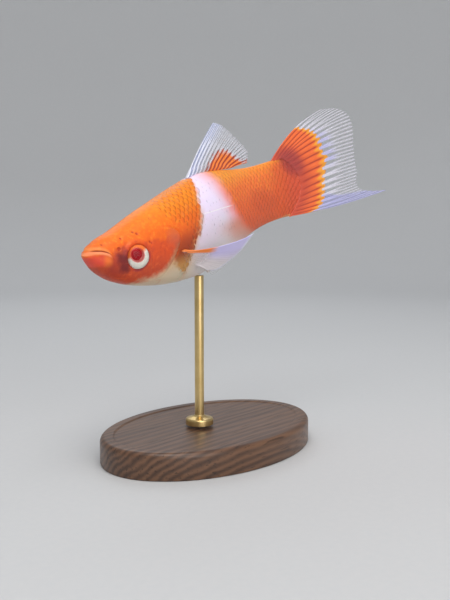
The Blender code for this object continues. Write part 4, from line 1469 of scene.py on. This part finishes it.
# %% Eye finishes
def round_pupil(wire):
    """The eye's own coordinates, then the way round the pupil and the distance from its middle."""
    x, y, z = split(attribute(wire, "eye"))
    px, py = x - PUPIL_SHIFT[0] / EYE_RADIUS, y - PUPIL_SHIFT[1] / EYE_RADIUS
    return x, y, z, py.sum("ARCTAN2", px), (px * px + py * py).sum("SQRT")


def iris_look(wire):
    """Off-white with fine streaks, orange above, red round the pupil, and dusky red painted shade at the rim
    where the ball sinks into its socket.
    """
    x, y, z, turn, far = round_pupil(wire)
    around = wire.node("CombineXYZ", (), {0: turn * 6.0, 1: far * 1.5})
    streaks = wire.node("TexNoise", {"noise_dimensions": "2D"},
                        {"Vector": around, "Scale": 2.2, "Detail": 3.0})
    flecks = noise(wire, 9000.0, 2.0)
    upper = (y * 0.9 + x * 0.45 + (streaks - 0.5) * 0.20).rise(0.12, 0.46)
    color = layered((flecks.rise(0.5, 0.8) * 0.15).over((0.93, 0.90, 0.81), (0.66, 0.50, 0.44)),
                    (streaks.rise(0.55, 0.75) * 0.25, (0.96, 0.94, 0.88)),
                    (upper, (0.90, 0.22, 0.04)),
                    (far.rise(0.64, 0.54) * 0.85, (0.60, 0.06, 0.05)),
                    # Painted shade: dusky red at the ball's rim, where it sinks into its socket.
                    (z.rise(0.24, 0.12) * 0.6, (0.42, 0.09, 0.06)))
    return {"Base Color": color, "Roughness": 0.35 + flecks * 0.2, "Normal": streaks.bumps(0.3, 0.00003)}


def lens_look(wire):
    """Deep red, a little brighter away from the middle."""
    far = round_pupil(wire)[-1]
    cloud = noise(wire, 2500.0, 2.0)
    edge = (far + (cloud - 0.5) * 0.15).rise(0.15, 0.55)
    return {"Base Color": edge.over((0.34, 0.008, 0.016), (0.46, 0.014, 0.022)),
            "Roughness": cloud * 0.1 + 0.40}


def shell_material():
    """Clear where it is looked through, and glossy at a slant."""
    material = bpy.data.materials.new("clear_dome")
    material.use_nodes = True
    tree = material.node_tree
    tree.nodes.remove(tree.nodes["Principled BSDF"])
    wire = Wire(tree)
    clear = wire.node("BsdfTransparent", (), {"Color": (1, 1, 1, 1)})
    shine = wire.node("BsdfGlossy", (), {"Roughness": noise(wire, 1200.0, 2.0) * 0.03 + 0.18})
    share = wire.node("Fresnel", (), {"IOR": 1.22})
    mixed = wire.node("MixShader", (), {0: share, 1: clear, 2: shine})
    tree.links.new(mixed.socket, tree.nodes["Material Output"].inputs["Surface"])
    return material


finishes = {"iris": new_material("iris", iris_look, Coat_Weight=0.1, Coat_Roughness=0.1,
                                 Specular_IOR_Level=0.2),
            "pupil": new_material("pupil", lens_look, Specular_IOR_Level=0.08),
            "dome": shell_material()}
for name, piece in eyes.items():
    piece.data.materials.append(finishes[name.split()[0]])
print(len(eyes), "pieces of the eyes have their finishes")

# %% [markdown]
# ## The stand
#
# The base is an oval of walnut with a rounded top edge and a small step turned round it,
# and a brass rod with a collar holds the fish. The base comes from a cylinder drawn out to
# an oval. The rod and its collar are one profile spun round its axis, as a lathe
# would turn it.

# %% Base and rod
BASE_ROUNDING = 0.0009
FOOT_ROUNDING = 0.3
STEP_IN, STEP_WIDTH, STEP_DEPTH = 0.0012, 0.0003, 0.0002
ROD_RADIUS = 0.0008
ROD_SUNK = 0.0002
COLLAR_RADIUS = 0.0024
COLLAR_ROUNDING = 0.00035
TIP_ROUNDING = 0.4 * COLLAR_ROUNDING


def make_base():
    """The oval board, its top edge rounded and a step let into its face."""
    low, high = (np.array(corner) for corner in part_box("stand_base"))
    size = high - low
    bm = bmesh.new()
    bmesh.ops.create_cone(bm, cap_ends=True, segments=180, radius1=0.5, radius2=0.5, depth=size[2])
    bmesh.ops.scale(bm, verts=bm.verts, vec=(size[0], size[1], 1))
    bmesh.ops.translate(bm, verts=bm.verts, vec=(low + high) / 2)
    for at, share, segments in ((size[2], 1, 6), (0, FOOT_ROUNDING, 2)):
        rim = [edge for edge in bm.edges if all(abs(vert.co.z - at) < size[2] * 0.1 for vert in edge.verts)]
        bmesh.ops.bevel(bm, geom=rim, offset=BASE_ROUNDING * share, segments=segments, profile=0.5,
                        affect="EDGES", material=-1)
    lid = max(bm.faces, key=lambda face: face.calc_center_median().z)
    for width, depth in ((STEP_IN, 0), (STEP_WIDTH, -STEP_DEPTH)):
        bmesh.ops.inset_region(bm, faces=[lid], thickness=width, depth=depth)
    piece = finish("base_board", bm, ("stand_base",), "stand_wood")
    piece.data.set_sharp_from_angle(angle=math.radians(30))
    return piece


def make_rod():
    """The rod and its collar from one profile of radii and heights."""
    low, high = (np.array(corner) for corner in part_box("stand_rod"))
    foot, top = low[2], high[2] - ROD_SUNK
    turns = np.linspace(0, math.pi / 2, 7)
    profile = [(0, foot), (COLLAR_RADIUS, foot)]
    profile += [(COLLAR_RADIUS - COLLAR_ROUNDING * (1 - math.cos(t)),
                 foot + 0.0008 + COLLAR_ROUNDING * math.sin(t)) for t in turns]
    profile += [(COLLAR_RADIUS * 0.70, foot + 0.00125), (ROD_RADIUS + 0.0003, foot + 0.0014),
                (ROD_RADIUS, foot + 0.0017)]
    profile += [(ROD_RADIUS - TIP_ROUNDING * (1 - math.cos(t)), top - TIP_ROUNDING * (1 - math.sin(t)))
                for t in turns]
    profile.append((0, top))
    bm = turned(profile, 64, 1e-7)
    middle = (low + high) / 2
    bmesh.ops.translate(bm, verts=bm.verts, vec=(middle[0], middle[1], 0))
    piece = finish("rod", bm, ("stand_rod",), "stand_rod")
    piece.data.set_sharp_from_angle(angle=math.radians(35))
    return piece


board, rod = make_base(), make_rod()

# %% [markdown]
# ### Wood, brass and paper
#
# Walnut has long grain and short open pores, so waves and noise are drawn out along the
# board. Lathe marks on brass run round the rod, so there the noise is stretched the other
# way. The paper only needs a trace of fibre.

# %% Wood, brass and paper
def wood_look(wire):
    """Brown with grain that wanders, lighter patches and short dark pores."""
    long = stretched(wire, (0.12, 1.0, 1.0), (0.05, 0.10, 0.06))
    wander = noise(wire, 160.0, 3.0, long)
    _, y, z = split(long)
    grain = ((y + z * 1.4 + wander * 0.005) * 3400.0).sum("SINE") * 0.5 + 0.5
    pores = noise(wire, 2600.0, 2.0, stretched(wire, (0.06, 1.0, 1.0)))
    color = layered(grain.over((0.060, 0.026, 0.013), (0.150, 0.070, 0.034)),
                    (wander.rise(0.4, 0.7) * 0.4, (0.20, 0.10, 0.05)),
                    (pores.rise(0.58, 0.72) * 0.7, (0.025, 0.011, 0.006)))
    return {"Base Color": color, "Roughness": 0.36 + pores * 0.2,
            "Normal": (1 - pores.rise(0.55, 0.75)).bumps(0.35, 0.00006)}


def brass_look(wire):
    """Worn patches are paler and less glossy, and fine rings run round the rod."""
    rings = noise(wire, 3500.0, 2.0, stretched(wire, (0.05, 0.05, 1.0)))
    worn = noise(wire, 260.0, 3.0)
    return {"Base Color": worn.rise(0.35, 0.7).over((0.62, 0.44, 0.18), (0.74, 0.56, 0.27)),
            "Roughness": 0.20 + worn * 0.16 + rings * 0.08, "Normal": rings.bumps(0.12, 0.00003)}


def paper_look(wire):
    """A light grey with a faint trace of fibre."""
    fibre = noise(wire, 900.0, 3.0)
    return {"Base Color": fibre.over((0.60, 0.61, 0.62), (0.64, 0.64, 0.64)),
            "Normal": fibre.bumps(0.05, 0.0001)}


board.data.materials.append(new_material("walnut", wood_look, Coat_Weight=0.25, Coat_Roughness=0.25))
rod.data.materials.append(new_material("brass", brass_look, Metallic=1.0))
paper.data.materials.append(new_material("paper", paper_look, Roughness=0.9))
print("wood, brass and paper are on")
